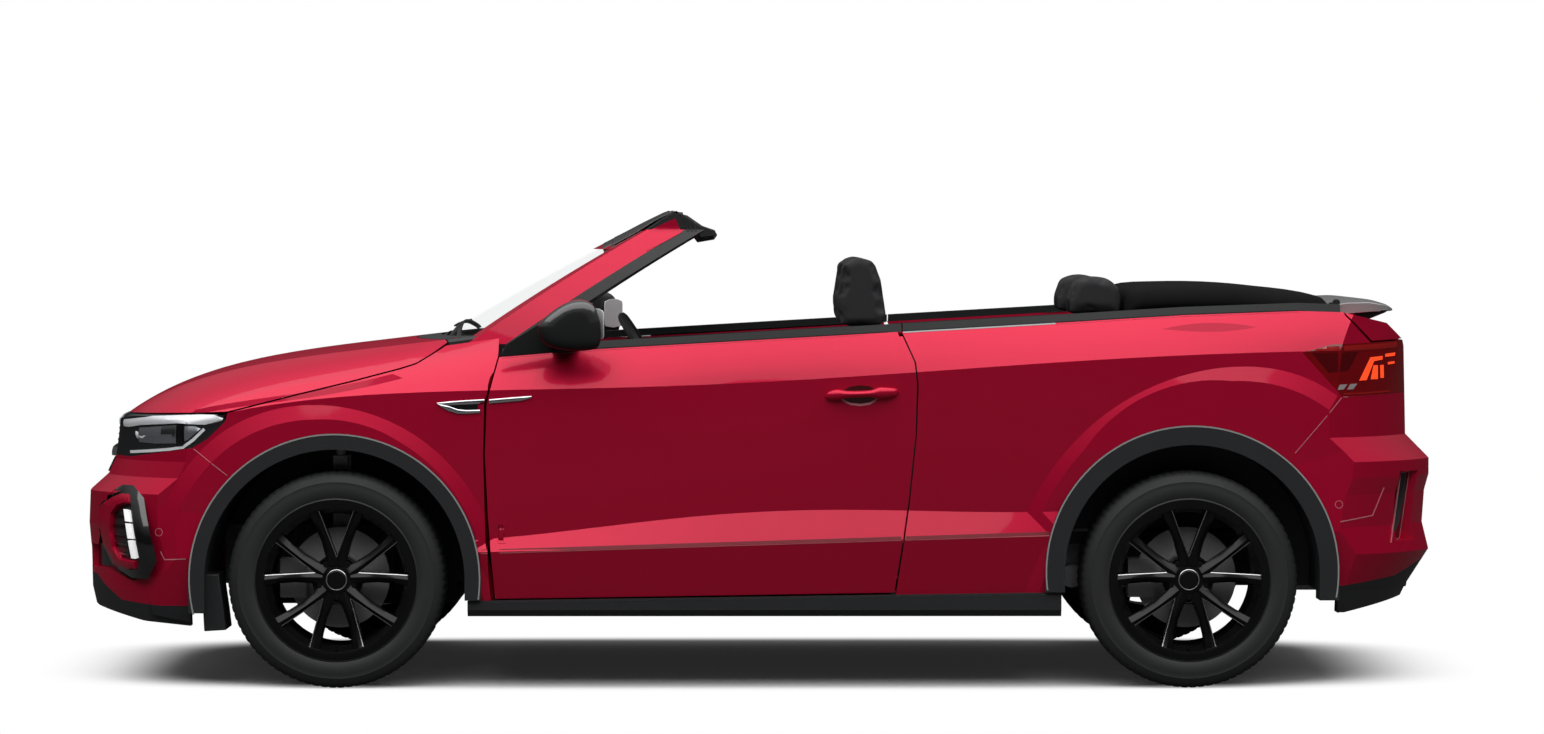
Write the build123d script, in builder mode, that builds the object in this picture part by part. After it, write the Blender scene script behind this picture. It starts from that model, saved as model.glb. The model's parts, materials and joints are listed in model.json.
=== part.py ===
from build123d import *
import os

# Two-door open car with its soft top folded, in millimetres. X runs from the nose to the tail, Y to the
# car's right and Z up. The origin is on the ground, halfway along the body and on its centre line.

# ---- driving dimensions ----
half_length = 2134          # half of the overall length
front_axle_x = -1304
rear_axle_x = 1326
hub_z = 335                 # axle height, which is the tyre radius
track = 1540
half_body = 905             # half-width over the wheel arch trims
trim_half = 727             # half-width over what the doors close against
door_seal = 15              # room for the seal between there and the doors' inner faces
cabin_half = trim_half + door_seal
shut_gap = 5                # gap round each door, bonnet and lid
seat_gap = 0.3              # gap between curved pieces that sit against each other

wall = 45                   # thickness of bumpers, wings and rear quarters, with their inner panels
lamp_depth = 70
bonnet_wall = 25
sill_bottom_z = 225
far = 3000                  # longer than any cut has to be

# ---- the outer form: cross-sections from nose to tail ----
# x, underside half-width, low crease z and half-width, waist z and half-width where the side kicks out
# to the low crease, shoulder crease z and half-width, top edge z and half-width, crown of the top
underside_z = 190
side_bulge = 3              # how far the side bows out between the waist and the shoulder crease
shoulder_bulge = (15, 8)
SECTIONS = (
    (-half_length, 800, 400, 850, 520, 848, 640, 850, 700, 560, 30),
    (-1850, 830, 405, 880, 560, 874, 790, 868, 910, 640, 20),
    (-1304, 845, 415, 893, 470, 882, 900, 888, 1034, 690, 12),
    (-850, 850, 424, 895, 462, 874, 921, 886, 1088, 715, 12),
    (440, 850, 462, 896, 550, 866, 974, 890, 1190, 755, 20),
    (1326, 845, 480, 893, 600, 880, 1030, 893, 1230, 740, 20),
    (half_length, 790, 500, 860, 760, 852, 1050, 850, 1240, 700, 20),
)

# ---- the outer form: plan outlines from the ground up ----
# z, nose x, tail x
PLANS = (
    (150, -2090, 1990),
    (300, -2124, 2060),
    (415, -2127, half_length),
    (500, -half_length, 2113),
    (600, -2130, 2120),
    (650, -2074, half_length),
    (700, -2050, half_length),
    (775, -2040, 2060),
    (1050, -2016, 2054),
    (1300, -2010, 2010),
)
face_half = 600             # half-width of the nearly flat nose and tail
face_bow = 33               # how far the nose and tail bow between those points
corner_mid = (210, 830)     # the corner arc's middle, back from the nose and out from the centre line
corner_end = 560            # where the corner meets the side, back from the nose
plan_half = 940             # the plan outlines' straight sides stand outside the body's own


def body_form(inset):
    """The body's length, its sides and its top, with every face moved in by inset."""
    bulge_y, bulge_z = shoulder_bulge
    with BuildPart() as form:
        for x, under, low_z, low, waist_z, waist, crease_z, crease, top_z, top, crown in SECTIONS:
            with BuildSketch(Plane.YZ.offset(x)):
                with BuildLine():
                    Line((inset - under, underside_z), (under - inset, underside_z))
                    for side in (1, -1):
                        under_point = (side * (under - inset), underside_z)
                        low_point = (side * (low - inset), low_z)
                        waist_point = (side * (waist - inset), waist_z)
                        side_point = (side * ((waist + crease) / 2 + side_bulge - inset), (waist_z + crease_z) / 2)
                        crease_point = (side * (crease - inset), crease_z)
                        bulge_point = (
                            side * ((crease + top) / 2 + bulge_y - inset),
                            (crease_z + top_z) / 2 + bulge_z - inset / 2,
                        )
                        top_point = (side * (top - inset), top_z - inset)
                        Line(under_point, low_point)
                        Line(low_point, waist_point)
                        ThreePointArc(waist_point, side_point, crease_point)
                        ThreePointArc(crease_point, bulge_point, top_point)
                    ThreePointArc(
                        (inset - top, top_z - inset), (0, top_z + crown - inset), (top - inset, top_z - inset)
                    )
                make_face()
        loft()
    return form.part


def end_form(inset):
    """The body seen from above: nose, tail and their corners, with every face moved in by inset."""
    face = face_half - inset / 2
    side_y = plan_half - inset
    corner_x, corner_y = corner_mid
    with BuildPart() as form:
        for z, nose, tail in PLANS:
            with BuildSketch(Plane.XY.offset(z)):
                with BuildLine():
                    for end, inward in ((nose + inset, 1), (tail - inset, -1)):
                        face_x = end + inward * face_bow
                        side_x = end + inward * corner_end
                        ThreePointArc((face_x, -face), (end, 0), (face_x, face))
                        for side in (1, -1):
                            ThreePointArc(
                                (face_x, side * face),
                                (end + inward * corner_x, side * (corner_y - inset)),
                                (side_x, side * side_y),
                            )
                    for side in (1, -1):
                        Line(
                            (nose + inset + corner_end, side * side_y), (tail - inset - corner_end, side * side_y)
                        )
                make_face()
        loft(ruled=True)
    return form.part


def side_prism(points, inner=0, outer=1200):
    """A prism on the left of the car, from an outline seen from the side, between two half-widths."""
    with BuildPart() as prism:
        with BuildSketch(Plane.XZ.offset(inner)):
            with BuildLine():
                Polyline(*points, close=True)
            make_face()
        extrude(amount=outer - inner)
    return prism.part


def cross_prism(points, half_width=1200):
    """A prism right across the car, from an outline seen from the side."""
    with BuildPart() as prism:
        with BuildSketch(Plane.XZ):
            with BuildLine():
                Polyline(*points, close=True)
            make_face()
        extrude(amount=half_width, both=True)
    return prism.part


def block(x, y, z):
    """A block between two values on each axis."""
    with BuildPart() as made:
        with Locations(((x[0] + x[1]) / 2, (y[0] + y[1]) / 2, (z[0] + z[1]) / 2)):
            Box(x[1] - x[0], y[1] - y[0], z[1] - z[0])
    return made.part


def save(part, label):
    part.label = label
    export_step(part, f"parts/{label}.step")


# ---- lines of the body seen from the side, as (x, z) ----
belt_line = ((-807, 1021), (-486, 1047), (438, 1100), (981, 1131), (1309, 1151), (1670, 1164), (1800, 1160),
             (1954, 1125), (2060, 1035), (2400, 900))
door_front_line = ((-803, 1021), (-838, 879), (-844, 725), (-835, 526), (-814, 278))
door_rear_line = ((436, 1099), (477, 1008), (485, 938), (480, 784), (459, 572), (416, 297))
sill_top_line = ((-898, 272), (930, 298))
bonnet_line = (
    (-2300, 836), (-1719, 852), (-1636, 856), (-1415, 912), (-1261, 949), (-1107, 989), (-1060, 1004),
    (-1014, 1032), (-968, 1066), (-950, 1200),
)
headlamp_outline = (
    (-2300, 715), (-2300, 831), (-1719, 847), (-1648, 845), (-1642, 826), (-1697, 772), (-1744, 744), (-1958, 710),
)
wing_front_line = ((-1744, 744), (-1600, 630))
tail_lamp_outline = ((1671, 1037), (1764, 1062), (2300, 1078), (2300, 905), (1965, 905), (1795, 901))
rear_bumper_line = ((1795, 901), (1600, 690))
lid_bottom_z = 775
lid_half = 500
lid_front_x = 1808

# ---- wheel arches ----
# name, centre x, centre z, outer and inner radius, end z of the leg in front and of the leg behind,
# half-width between the wheel housings
front_well_half = track / 2 - 330
rear_well_half = track / 2 - 160
ARCHES = (
    ("front", front_axle_x - 2, 340, 449, 400, 236, 275, front_well_half),
    ("rear", rear_axle_x + 6, 362, 452, 392, 300, 275, rear_well_half),
)
arch_trim_depth = 105
arch_inner_half = half_body - arch_trim_depth


def arch_prism(x, z, radius, inner, outer):
    """The arch opening, filled down to below the car, as a prism on the left between two half-widths."""
    with BuildPart() as prism:
        with BuildSketch(Plane.XZ.offset(inner)):
            with Locations((x, z)):
                Circle(radius)
            with Locations((x, z - 300)):
                Rectangle(2 * radius, 600)
        extrude(amount=outer - inner)
    return prism.part


def both_sides(part):
    """A piece on the left of the car with its mirror image."""
    with BuildPart() as pair:
        add(part)
        mirror(about=Plane.XZ)
    return pair.part


# ---- flares over the wheel arches ----
# Each is a shallow cone on the body side: its centre x and z, and its radius where it leaves the side.
FLARES = ((-1340, 400, 510), (1400, 470, 560))
flare_height = 12
flare_slope = 3.5           # millimetres inward along the side for each one that the flare stands out
flare_foot_half = 878       # half-width at which a flare has its own radius
flare_y = (850, 900)
os.makedirs("parts", exist_ok=True)

with BuildPart() as flares:
    for x, z, radius in FLARES:
        foot, edge = [radius + flare_slope * (flare_foot_half - y) for y in flare_y]
        with Locations(Location((x, -sum(flare_y) / 2, z), (90, 0, 0))):
            Cone(bottom_radius=foot, top_radius=edge, height=flare_y[1] - flare_y[0])
above_belt = cross_prism(belt_line + ((2400, 1700), (-807, 1700)))
flared_sides = both_sides(flares.part) & body_form(-flare_height)
outer_body = ((body_form(0) + flared_sides) & end_form(0)) - above_belt
inner_body = (body_form(wall) & end_form(wall)) - above_belt.moved(Location((0, 0, -wall)))
with BuildPart() as arch_cuts:
    for name, x, z, outer, inner, front_z, rear_z, well_half in ARCHES:
        add(both_sides(arch_prism(x, z, outer, well_half, 1200)))


def panel(region, thickness_body=inner_body):
    """A body panel: the outer form within a region, hollowed by the inner form and cut by the wheel arches."""
    with BuildPart() as made:
        add(outer_body)
        add(region, mode=Mode.INTERSECT)
        add(thickness_body, mode=Mode.SUBTRACT)
        add(arch_cuts.part, mode=Mode.SUBTRACT)
    return made.part


# ---- windscreen and its frame ----
# z, corner x, corner half-width, centre x
SCREEN = ((1060, -905, 742, -1062), (1262, -602, 680, -712), (1415, -351, 612, -416))
frame_depth = 118           # measured along X, on a screen that slopes at about 30 degrees
trim_depth = 62
pillar_width = 52
header_height = 62
screen_inset = 14
screen_depth = 11
screen_base_z = SCREEN[0][0]
screen_top_z = SCREEN[-1][0]


def screen_shell(near, depth):
    """A sheet that follows the windscreen, from near behind its outer face, both measured along X."""
    with BuildPart() as sheet:
        for z, corner_x, corner_y, centre_x in SCREEN:
            with BuildSketch(Plane.XY.offset(z)):
                with BuildLine():
                    for x in (near, near + depth):
                        ThreePointArc((corner_x + x, -corner_y), (centre_x + x, 0), (corner_x + x, corner_y))
                    for side in (1, -1):
                        Line(
                            (corner_x + near, side * corner_y), (corner_x + near + depth, side * corner_y)
                        )
                make_face()
        loft()
    return sheet.part


def screen_opening(clearance, base_z):
    """The daylight opening of the windscreen frame, seen along the car, less a clearance."""
    base_half = SCREEN[0][2] - pillar_width - clearance
    top_half = SCREEN[-1][2] - pillar_width - clearance
    top_z = screen_top_z - header_height - clearance
    slope = (base_half - top_half) / (screen_top_z - screen_base_z)
    with BuildPart() as opening:
        with BuildSketch(Plane.YZ.offset(-1300)):
            with BuildLine():
                Polyline(
                    (-base_half - slope * 60, base_z), (-base_half + slope * (top_z - screen_base_z), top_z),
                    (base_half - slope * (top_z - screen_base_z), top_z), (base_half + slope * 60, base_z),
                    close=True,
                )
            make_face()
        extrude(amount=1600)
    return opening.part


opening = screen_opening(0, screen_base_z - 60)
screen_region = screen_shell(0, frame_depth + trim_depth)

with BuildPart() as windscreen_frame:
    add(screen_shell(0, frame_depth))
    add(opening, mode=Mode.SUBTRACT)
save(windscreen_frame.part, "windscreen_frame")

with BuildPart() as frame_trim:
    add(screen_shell(frame_depth, trim_depth))
    add(opening, mode=Mode.SUBTRACT)

with BuildPart() as windscreen:
    add(screen_shell(screen_inset, screen_depth))
    add(screen_opening(seat_gap, screen_base_z - 60), mode=Mode.INTERSECT)
save(windscreen.part, "windscreen")

# The roof rail on top of the frame, as (x, z) from the top edge of the frame's outer face.
RAIL = ((0, 0), (71, 37), (108, 54), (138, 48), (203, 13), (257, -3), (268, -33), (215, -42), (182, 0))
rail_end_rise = 0.55        # the rail's ends are this much as high
rail_end_reach = 0.78       # and this much as deep as its middle, so that its rear edge runs straight across
with BuildPart() as header_rail:
    z, corner_x, corner_y, centre_x = SCREEN[-1]
    for y, x, rise, reach in (
        (-corner_y, corner_x, rail_end_rise, rail_end_reach),
        (0, centre_x, 1, 1),
        (corner_y, corner_x, rail_end_rise, rail_end_reach),
    ):
        with BuildSketch(Plane.XZ.offset(-y)):
            with BuildLine():
                Polyline(*[(x + dx * reach, z + max(dz * rise, dz)) for dx, dz in RAIL], close=True)
            make_face()
    loft()
    add(frame_trim.part)
save(header_rail.part, "frame_trim")

# ---- bonnet, wings, doors and rear quarters ----
bonnet_rear_centre_x = -1112
bonnet_rear_corner = (-955, 760)


def behind_bonnet(gap):
    """Everything behind the bonnet's curved rear edge."""
    corner_x, corner_y = bonnet_rear_corner
    with BuildPart() as region:
        with BuildSketch(Plane.XY.offset(500)):
            with BuildLine():
                ThreePointArc(
                    (corner_x - gap, -corner_y), (bonnet_rear_centre_x - gap, 0), (corner_x - gap, corner_y)
                )
                Polyline(
                    (corner_x - gap, corner_y), (far, corner_y), (far, -corner_y), (corner_x - gap, -corner_y)
                )
            make_face()
        extrude(amount=1000)
    return region.part


bonnet_hinge_x = -945
bonnet_hinge_y = trim_half - 41
bonnet_hinge_z = 1070
hinge_pin_radius = 5


def across(x, z, radius, y):
    """A cylinder across the car between two values of Y."""
    with BuildPart() as made:
        with Locations(Location((x, (y[0] + y[1]) / 2, z), (90, 0, 0))):
            Cylinder(radius=radius, height=y[1] - y[0])
    return made.part


bonnet_inner = body_form(bonnet_wall) & end_form(bonnet_wall)
with BuildPart() as bonnet:
    add(outer_body)
    add(cross_prism(bonnet_line + ((-950, 1500), (-2300, 1500))), mode=Mode.INTERSECT)
    add(bonnet_inner, mode=Mode.SUBTRACT)
    add(behind_bonnet(0), mode=Mode.SUBTRACT)
    for side in (-1, 1):
        arm_y = (side * bonnet_hinge_y - 6, side * bonnet_hinge_y + 6)
        add(block((-1010, bonnet_hinge_x), arm_y, (bonnet_hinge_z - 30, bonnet_hinge_z - 6)))
        add(across(bonnet_hinge_x, bonnet_hinge_z, 9, arm_y))
        add(across(bonnet_hinge_x, bonnet_hinge_z, hinge_pin_radius + seat_gap, arm_y), mode=Mode.SUBTRACT)
save(bonnet.part, "bonnet")

wing_outline = (
    tuple((x, z - shut_gap) for x, z in bonnet_line[2:-2])
    + ((-961, 1062), (-954, 1120), (-800, 1120))
    + tuple((x - shut_gap, z) for x, z in door_front_line)
    + ((-819, 273.5), (-898, 272.3), (-1600, 272.3), (-1600, 630), (-1744, 744), (-1697, 772), (-1642, 826))
)
door_step_half = cabin_half + 98    # inboard of this the door's rear edge steps forward
door_step = 10
door_hinge_x = -796
door_hinge_y = 868
door_hinge_zs = (480, 880)
hinge_eye_radius = 9
hinge_leaf_x = (door_hinge_x - 1, door_hinge_x + 15)
hinge_height = 30
hinge_clearance = 7


def upright(x, y, z, radius, height):
    """An upright cylinder about a centre point."""
    with BuildPart() as made:
        with Locations((x, y, z)):
            Cylinder(radius=radius, height=height)
    return made.part


inner_rear_line = tuple((x - door_step, z) for x, z in door_rear_line)
with BuildPart() as door_region:
    add(side_prism(door_front_line + tuple(reversed(door_rear_line)) + belt_line[2:0:-1], door_step_half))
    add(
        side_prism(
            door_front_line + tuple(reversed(inner_rear_line)) + belt_line[2:0:-1], cabin_half, door_step_half
        )
    )
with BuildPart() as door:
    add(outer_body)
    add(door_region.part, mode=Mode.INTERSECT)
    for z in door_hinge_zs:
        pocket_z = (z - hinge_height / 2 - hinge_clearance, z + hinge_height / 2 + hinge_clearance)
        pocket_x = (-870, hinge_leaf_x[1] + shut_gap)
        add(block(pocket_x, (-door_hinge_y, -cabin_half + 1), pocket_z), mode=Mode.SUBTRACT)
        add(
            upright(door_hinge_x, -door_hinge_y, z, hinge_eye_radius + 1, pocket_z[1] - pocket_z[0]),
            mode=Mode.SUBTRACT,
        )
        add(upright(door_hinge_x, -door_hinge_y, z, hinge_pin_radius + seat_gap, 100), mode=Mode.SUBTRACT)
save(door.part, "door_left")
with BuildPart() as door_right:
    add(door.part)
    mirror(about=Plane.XZ, mode=Mode.REPLACE)
save(door_right.part, "door_right")

# The room that the door's front edge sweeps behind the wing, as (radius, z) about the hinge line.
door_sweep = ((0, 250), (30, 260), (48, 424), (50, 526), (56, 725), (53, 879), (24, 1000), (18, 1100), (0, 1100))
with BuildPart() as sweep_room:
    with BuildSketch(Plane.XZ.offset(door_hinge_y)):
        with BuildLine():
            Polyline(*[(door_hinge_x + radius, z) for radius, z in door_sweep], close=True)
        make_face()
    revolve(axis=Axis((door_hinge_x, -door_hinge_y, 0), (0, 0, 1)))
with BuildPart() as wing:
    add(panel(side_prism(wing_outline, cabin_half)))
    add(screen_region, mode=Mode.SUBTRACT)
    add(sweep_room.part, mode=Mode.SUBTRACT)
save(both_sides(wing.part), "front_wings")

lid_seam = ((1893, 1066), (1808, 1150), (1803, 1165), (1803, 1500))
quarter_outline = (
    tuple((x + shut_gap, z) for x, z in door_rear_line[:-1])
    + ((421, 291), (930, 298), (1100, 298), (1600, 690), (1795, 901), (1671, 1037), (1764, 1062))
    + lid_seam
    + ((441, 1500),)
)
with BuildPart() as quarter:
    add(panel(side_prism(quarter_outline, cabin_half)))
save(both_sides(quarter.part), "rear_quarters")

# ---- bumpers, grilles and lamps ----
lamp_body = body_form(lamp_depth) & end_form(lamp_depth)
grille_half = 519
grille_bottom_z = 715
grille_top_z = 831
intake_half = 520
intake_recess = 20
corner_intake = ((-2300, 433), (-2064, 433), (-2027, 589), (-1965, 611), (-1912, 589), (-1865, 402), (-1887, 340),
                 (-1943, 331), (-2021, 362), (-2300, 362))
corner_intake_half = 585    # the corner intakes begin this far out
lip_top = ((-2300, 342), (-2072, 342), (-2041, 313), (-1980, 268), (-1842, 256), (-1600, 256))
intake_z = (lip_top[0][1] + seat_gap, 560)
lip_line = lip_top + ((-1600, 192), (-1759, 192), (-1905, 208), (-2067, 240), (-2134, 275), (-2300, 275))
front_bumper_line = lip_top + ((-1600, 630), (-1744, 744), (-1958, 710), (-2300, 715))
tail_pipe_y = -560
tail_pipe_z = 322
tail_pipe_radius = 30
diffuser_top = ((1600, 300), (1800, 318), (1979, 340), (2122, 405), (2300, 470))

with BuildPart() as intake_opening:
    add(block((-2300, -1900), (-intake_half, intake_half), intake_z))
    add(both_sides(side_prism(corner_intake, corner_intake_half)))
with BuildPart() as front_bumper:
    add(panel(cross_prism(front_bumper_line)))
    add(intake_opening.part, mode=Mode.SUBTRACT)
save(front_bumper.part, "front_bumper")

with BuildPart() as lower_grille:
    add(body_form(intake_recess) & end_form(intake_recess))
    add(intake_opening.part, mode=Mode.INTERSECT)
    add(inner_body, mode=Mode.SUBTRACT)

with BuildPart() as upper_grille:
    add(panel(block((-2300, -1850), (-grille_half, grille_half), (grille_bottom_z, grille_top_z))))
    add(lower_grille.part)
save(upper_grille.part, "grilles")

save(panel(cross_prism(lip_line)), "front_lip")

with BuildPart() as headlamp:
    add(panel(side_prism(headlamp_outline, grille_half), lamp_body))
save(both_sides(headlamp.part), "headlamps")

with BuildPart() as tail_lamp:
    add(panel(side_prism(tail_lamp_outline, lid_half + shut_gap), lamp_body))
save(both_sides(tail_lamp.part), "tail_lamps")

rear_bumper_outline = ((1600, 690), (1795, 901), (1965, 905), (2300, 905)) + tuple(reversed(diffuser_top))
lid_opening = block((1700, far), (-lid_half - shut_gap, lid_half + shut_gap), (lid_bottom_z - shut_gap, 1500))
with BuildPart() as pipe_hole:
    with Locations(Location((2000, tail_pipe_y, tail_pipe_z), (0, 90, 0))):
        Cylinder(radius=tail_pipe_radius + 6, height=400)
corner_vent_y = (-775, -690)
corner_vent_z = (450, 665)
with BuildPart() as corner_vent:
    add(block((1850, far), corner_vent_y, corner_vent_z))
    add(body_form(intake_recess) & end_form(intake_recess), mode=Mode.SUBTRACT)
with BuildPart() as rear_bumper:
    add(panel(cross_prism(rear_bumper_outline)))
    add(lid_opening, mode=Mode.SUBTRACT)
    add(pipe_hole.part, mode=Mode.SUBTRACT)
    add(both_sides(corner_vent.part), mode=Mode.SUBTRACT)
save(rear_bumper.part, "rear_bumper")

diffuser_outline = diffuser_top + ((2300, 400), (2140, 400), (2073, 319), (2025, 271), (1806, 233), (1600, 233))
with BuildPart() as rear_diffuser:
    add(panel(cross_prism(diffuser_outline)))
    add(pipe_hole.part, mode=Mode.SUBTRACT)
save(rear_diffuser.part, "rear_diffuser")

# ---- boot lid and spoiler ----
with BuildPart() as lid_region:
    add(cross_prism(((1808, 1500), (1808, 1165), (1813, 1152), (1898, 1071), (2300, 1083), (2300, 1500))))
    add(block((lid_front_x, far), (-lid_half, lid_half), (lid_bottom_z, 1500)))
with BuildPart() as boot_lid:
    add(outer_body)
    add(lid_region.part, mode=Mode.INTERSECT)
    add(inner_body, mode=Mode.SUBTRACT)
save(boot_lid.part, "boot_lid")

lid_hinge_x = 1800
lid_hinge_z = 1188
lid_post_y = (655, 690)
lid_ear_y = (690.3, 705)
spoiler_outline = ((1811, 1150), (1811, 1184), (1850, 1194), (1930, 1198), (1990, 1188), (1996, 1176), (1880, 1130))
with BuildPart() as boot_spoiler:
    add(cross_prism(spoiler_outline, lid_ear_y[1]))
    add(above_belt, mode=Mode.INTERSECT)
    for side in (-1, 1):
        post_y = sorted((side * (lid_post_y[0] - 5), side * lid_ear_y[0]))
        ear_y = sorted((side * lid_ear_y[0], side * lid_ear_y[1]))
        add(block((1790, 1826), post_y, (1170, 1220)), mode=Mode.SUBTRACT)
        add(block((lid_hinge_x, 1815), ear_y, (1174, 1184)))
        add(across(lid_hinge_x, lid_hinge_z, 10, ear_y))
        add(across(lid_hinge_x, lid_hinge_z, hinge_pin_radius + seat_gap, ear_y), mode=Mode.SUBTRACT)
save(boot_spoiler.part, "boot_spoiler")

# ---- wheel arch trims, wheel housings and sills ----
with BuildPart() as arch_trims:
    for name, x, z, outer, inner, front_z, rear_z, well_half in ARCHES:
        with BuildPart(mode=Mode.PRIVATE) as trim:
            add(arch_prism(x, z, outer - seat_gap, arch_inner_half, half_body))
            add(arch_prism(x, z, inner, 0, 1200), mode=Mode.SUBTRACT)
            add(block((x - 600, x), (-1200, 0), (-400, front_z)), mode=Mode.SUBTRACT)
            add(block((x, x + 600), (-1200, 0), (-400, rear_z)), mode=Mode.SUBTRACT)
        add(both_sides(trim.part))
save(arch_trims.part, "arch_trims")

housing_wall = 8
housing_bottom_z = 300
with BuildPart() as wheel_housings:
    for name, x, z, outer, inner, front_z, rear_z, well_half in ARCHES:
        with BuildPart(mode=Mode.PRIVATE) as housing:
            add(arch_prism(x, z, inner + housing_wall, well_half, arch_inner_half - seat_gap))
            add(arch_prism(x, z, inner, well_half + housing_wall, arch_inner_half), mode=Mode.SUBTRACT)
            add(block((x - 600, x + 600), (-1200, 0), (-300, housing_bottom_z)), mode=Mode.SUBTRACT)
            add(block((x - 430, x + 150), (-well_half - housing_wall, 0), (0, 480)), mode=Mode.SUBTRACT)
        add(both_sides(housing.part))
save(wheel_housings.part, "wheel_housings")

sill_half = half_body - 12
sill_edge = (13, 20)        # the bevel along its lower edge
sill_depth = 166            # how far the sill reaches in under the car
(sill_front_x, sill_front_z), (sill_rear_x, sill_rear_z) = sill_top_line
sill_section = (
    (sill_half - sill_depth, sill_bottom_z),
    (sill_half - sill_edge[0], sill_bottom_z),
    (sill_half, sill_bottom_z + sill_edge[1]),
    (sill_half, sill_rear_z),
    (sill_half - sill_depth, sill_rear_z),
)
with BuildPart() as sill_trim:
    with BuildSketch(Plane.YZ.offset(sill_front_x)):
        with BuildLine():
            Polyline(*[(-y, z) for y, z in sill_section], close=True)
        make_face()
    extrude(amount=sill_rear_x - sill_front_x)
    add(cross_prism(sill_top_line + ((sill_rear_x, 500), (sill_front_x, 500))), mode=Mode.SUBTRACT)
    add(block((sill_front_x, sill_rear_x), (-trim_half, 0), (0, 500)), mode=Mode.SUBTRACT)
save(both_sides(sill_trim.part), "sill_trims")

# ---- floor, bulkhead and front frame ----
bulkhead_x = (-897, -860)
cabin_floor_z = (215, 260)
tunnel_half = 130
tunnel_top_z = 400
step_x = 620
rear_floor_z = (430, 470)
boot_half = rear_well_half - seat_gap
crossbar_half = 420
seat_body = body_form(wall + seat_gap) & end_form(wall + seat_gap)
with BuildPart() as floor_pan:
    add(block((bulkhead_x[1], step_x + 40), (-640, 640), cabin_floor_z))
    add(block((bulkhead_x[1], step_x + 40), (-tunnel_half, tunnel_half), (cabin_floor_z[0], tunnel_top_z)))
    for side in (-1, 1):
        add(block((bulkhead_x[1], 900), sorted((side * 640, side * trim_half)), (sill_bottom_z, 330)))
    add(block((step_x, step_x + 40), (-trim_half, trim_half), (sill_bottom_z, rear_floor_z[1])))
    add(block((step_x, 920), (-trim_half, trim_half), rear_floor_z))
    add(block((920, 2015), (-boot_half, boot_half), rear_floor_z))
    with BuildPart(mode=Mode.PRIVATE) as rear_crossbar:
        add(block((2000, 2200), (-crossbar_half, crossbar_half), (rear_floor_z[0], 600)))
        add(seat_body, mode=Mode.INTERSECT)
    add(rear_crossbar.part)
    add(block(bulkhead_x, (-trim_half, trim_half), (sill_bottom_z, 985)))
    for side in (-1, 1):
        add(block((bulkhead_x[0], door_hinge_x + 9), sorted((side * 687, side * trim_half)), (sill_bottom_z, 985)))
        for z in door_hinge_zs:
            hinge_z = (z - hinge_height / 2, z + hinge_height / 2)
            leaf_y = sorted((side * (trim_half - 5), side * door_hinge_y))
            add(block(hinge_leaf_x, leaf_y, hinge_z))
            add(upright(door_hinge_x, side * door_hinge_y, z, hinge_eye_radius, hinge_height))
            add(upright(door_hinge_x, side * door_hinge_y, z, hinge_pin_radius, 90))
save(floor_pan.part, "floor_pan")

with BuildPart() as cowl:
    add(outer_body)
    add(block((-1300, -740), (-trim_half, trim_half), (985, 1300)), mode=Mode.INTERSECT)
    add(behind_bonnet(-shut_gap), mode=Mode.INTERSECT)
    add(screen_shell(-seat_gap, 500), mode=Mode.SUBTRACT)
    for side in (-1, 1):
        pocket_y = (side * bonnet_hinge_y - 12, side * bonnet_hinge_y + 12)
        pin_y = (side * bonnet_hinge_y - 20, side * bonnet_hinge_y + 20)
        add(block((-1100, bonnet_hinge_x + 15), pocket_y, (bonnet_hinge_z - 40, 1300)), mode=Mode.SUBTRACT)
        add(across(bonnet_hinge_x, bonnet_hinge_z, hinge_pin_radius, pin_y))
save(cowl.part, "cowl")

rail_y = (front_well_half - 65, front_well_half - seat_gap)
rail_z = (480, 600)
kingpin_y = track / 2 - 80
arm_z = (205, 228)
with BuildPart() as front_frame:
    for side in (-1, 1):
        rail_side = sorted((side * rail_y[0], side * rail_y[1]))
        add(block((-2050, bulkhead_x[0]), rail_side, rail_z))
        add(block((-1960, -1920), rail_side, (300, 780)))
        add(block((-1010, -960), rail_side, (230, rail_z[0])))
    with BuildPart(mode=Mode.PRIVATE) as crossbar:
        add(block((-2200, -2020), (-crossbar_half, crossbar_half), rail_z))
        add(seat_body, mode=Mode.INTERSECT)
    add(crossbar.part)
    add(block((-1960, -1920), (-rail_y[1], rail_y[1]), (755, 780)))
    add(block((-1560, -960), (-rail_y[1], rail_y[1]), (230, 289.7)))
    for side in (-1, 1):
        add(block((front_axle_x - 30, front_axle_x + 30), sorted((side * 300, side * kingpin_y)), arm_z))
        add(block((front_axle_x - 60, front_axle_x + 60), sorted((side * 300, side * rail_y[1])), (arm_z[0], 240)))
        with Locations((front_axle_x, side * kingpin_y, (arm_z[0] + arm_z[1]) / 2)):
            Cylinder(radius=30, height=arm_z[1] - arm_z[0])
    add(block((-1960, -1925), (-rail_y[0] - 10, rail_y[0] + 10), (330, 760)))
save(front_frame.part, "front_frame")

engine_half = rail_y[0] - seat_gap
save(block((-1700, -1150), (-engine_half, engine_half), (290, 820)), "engine_block")

# ---- running gear ----
disc_radius = 156
hub_radius = 78
bore_radius = 28
axle_radius = bore_radius - seat_gap
rotor_y = (track / 2 - 50, track / 2 - 26)
hub_face_y = track / 2 + 10
hub_end_y = track / 2 + 83
carrier_y = (track / 2 - 130, track / 2 - 56)
caliper_y = ((track / 2 - 80, track / 2 - 56), (track / 2 - 20, track / 2 + 2))
caliper_r = (100, 182)
rotor_clearance = 6


def tube(radius, y, x=0, z=0):
    """A cylinder across the car on the left, between two half-widths."""
    with BuildPart() as made:
        with Locations(Location((x, -(y[0] + y[1]) / 2, z), (90, 0, 0))):
            Cylinder(radius=radius, height=y[1] - y[0])
    return made.part


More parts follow.
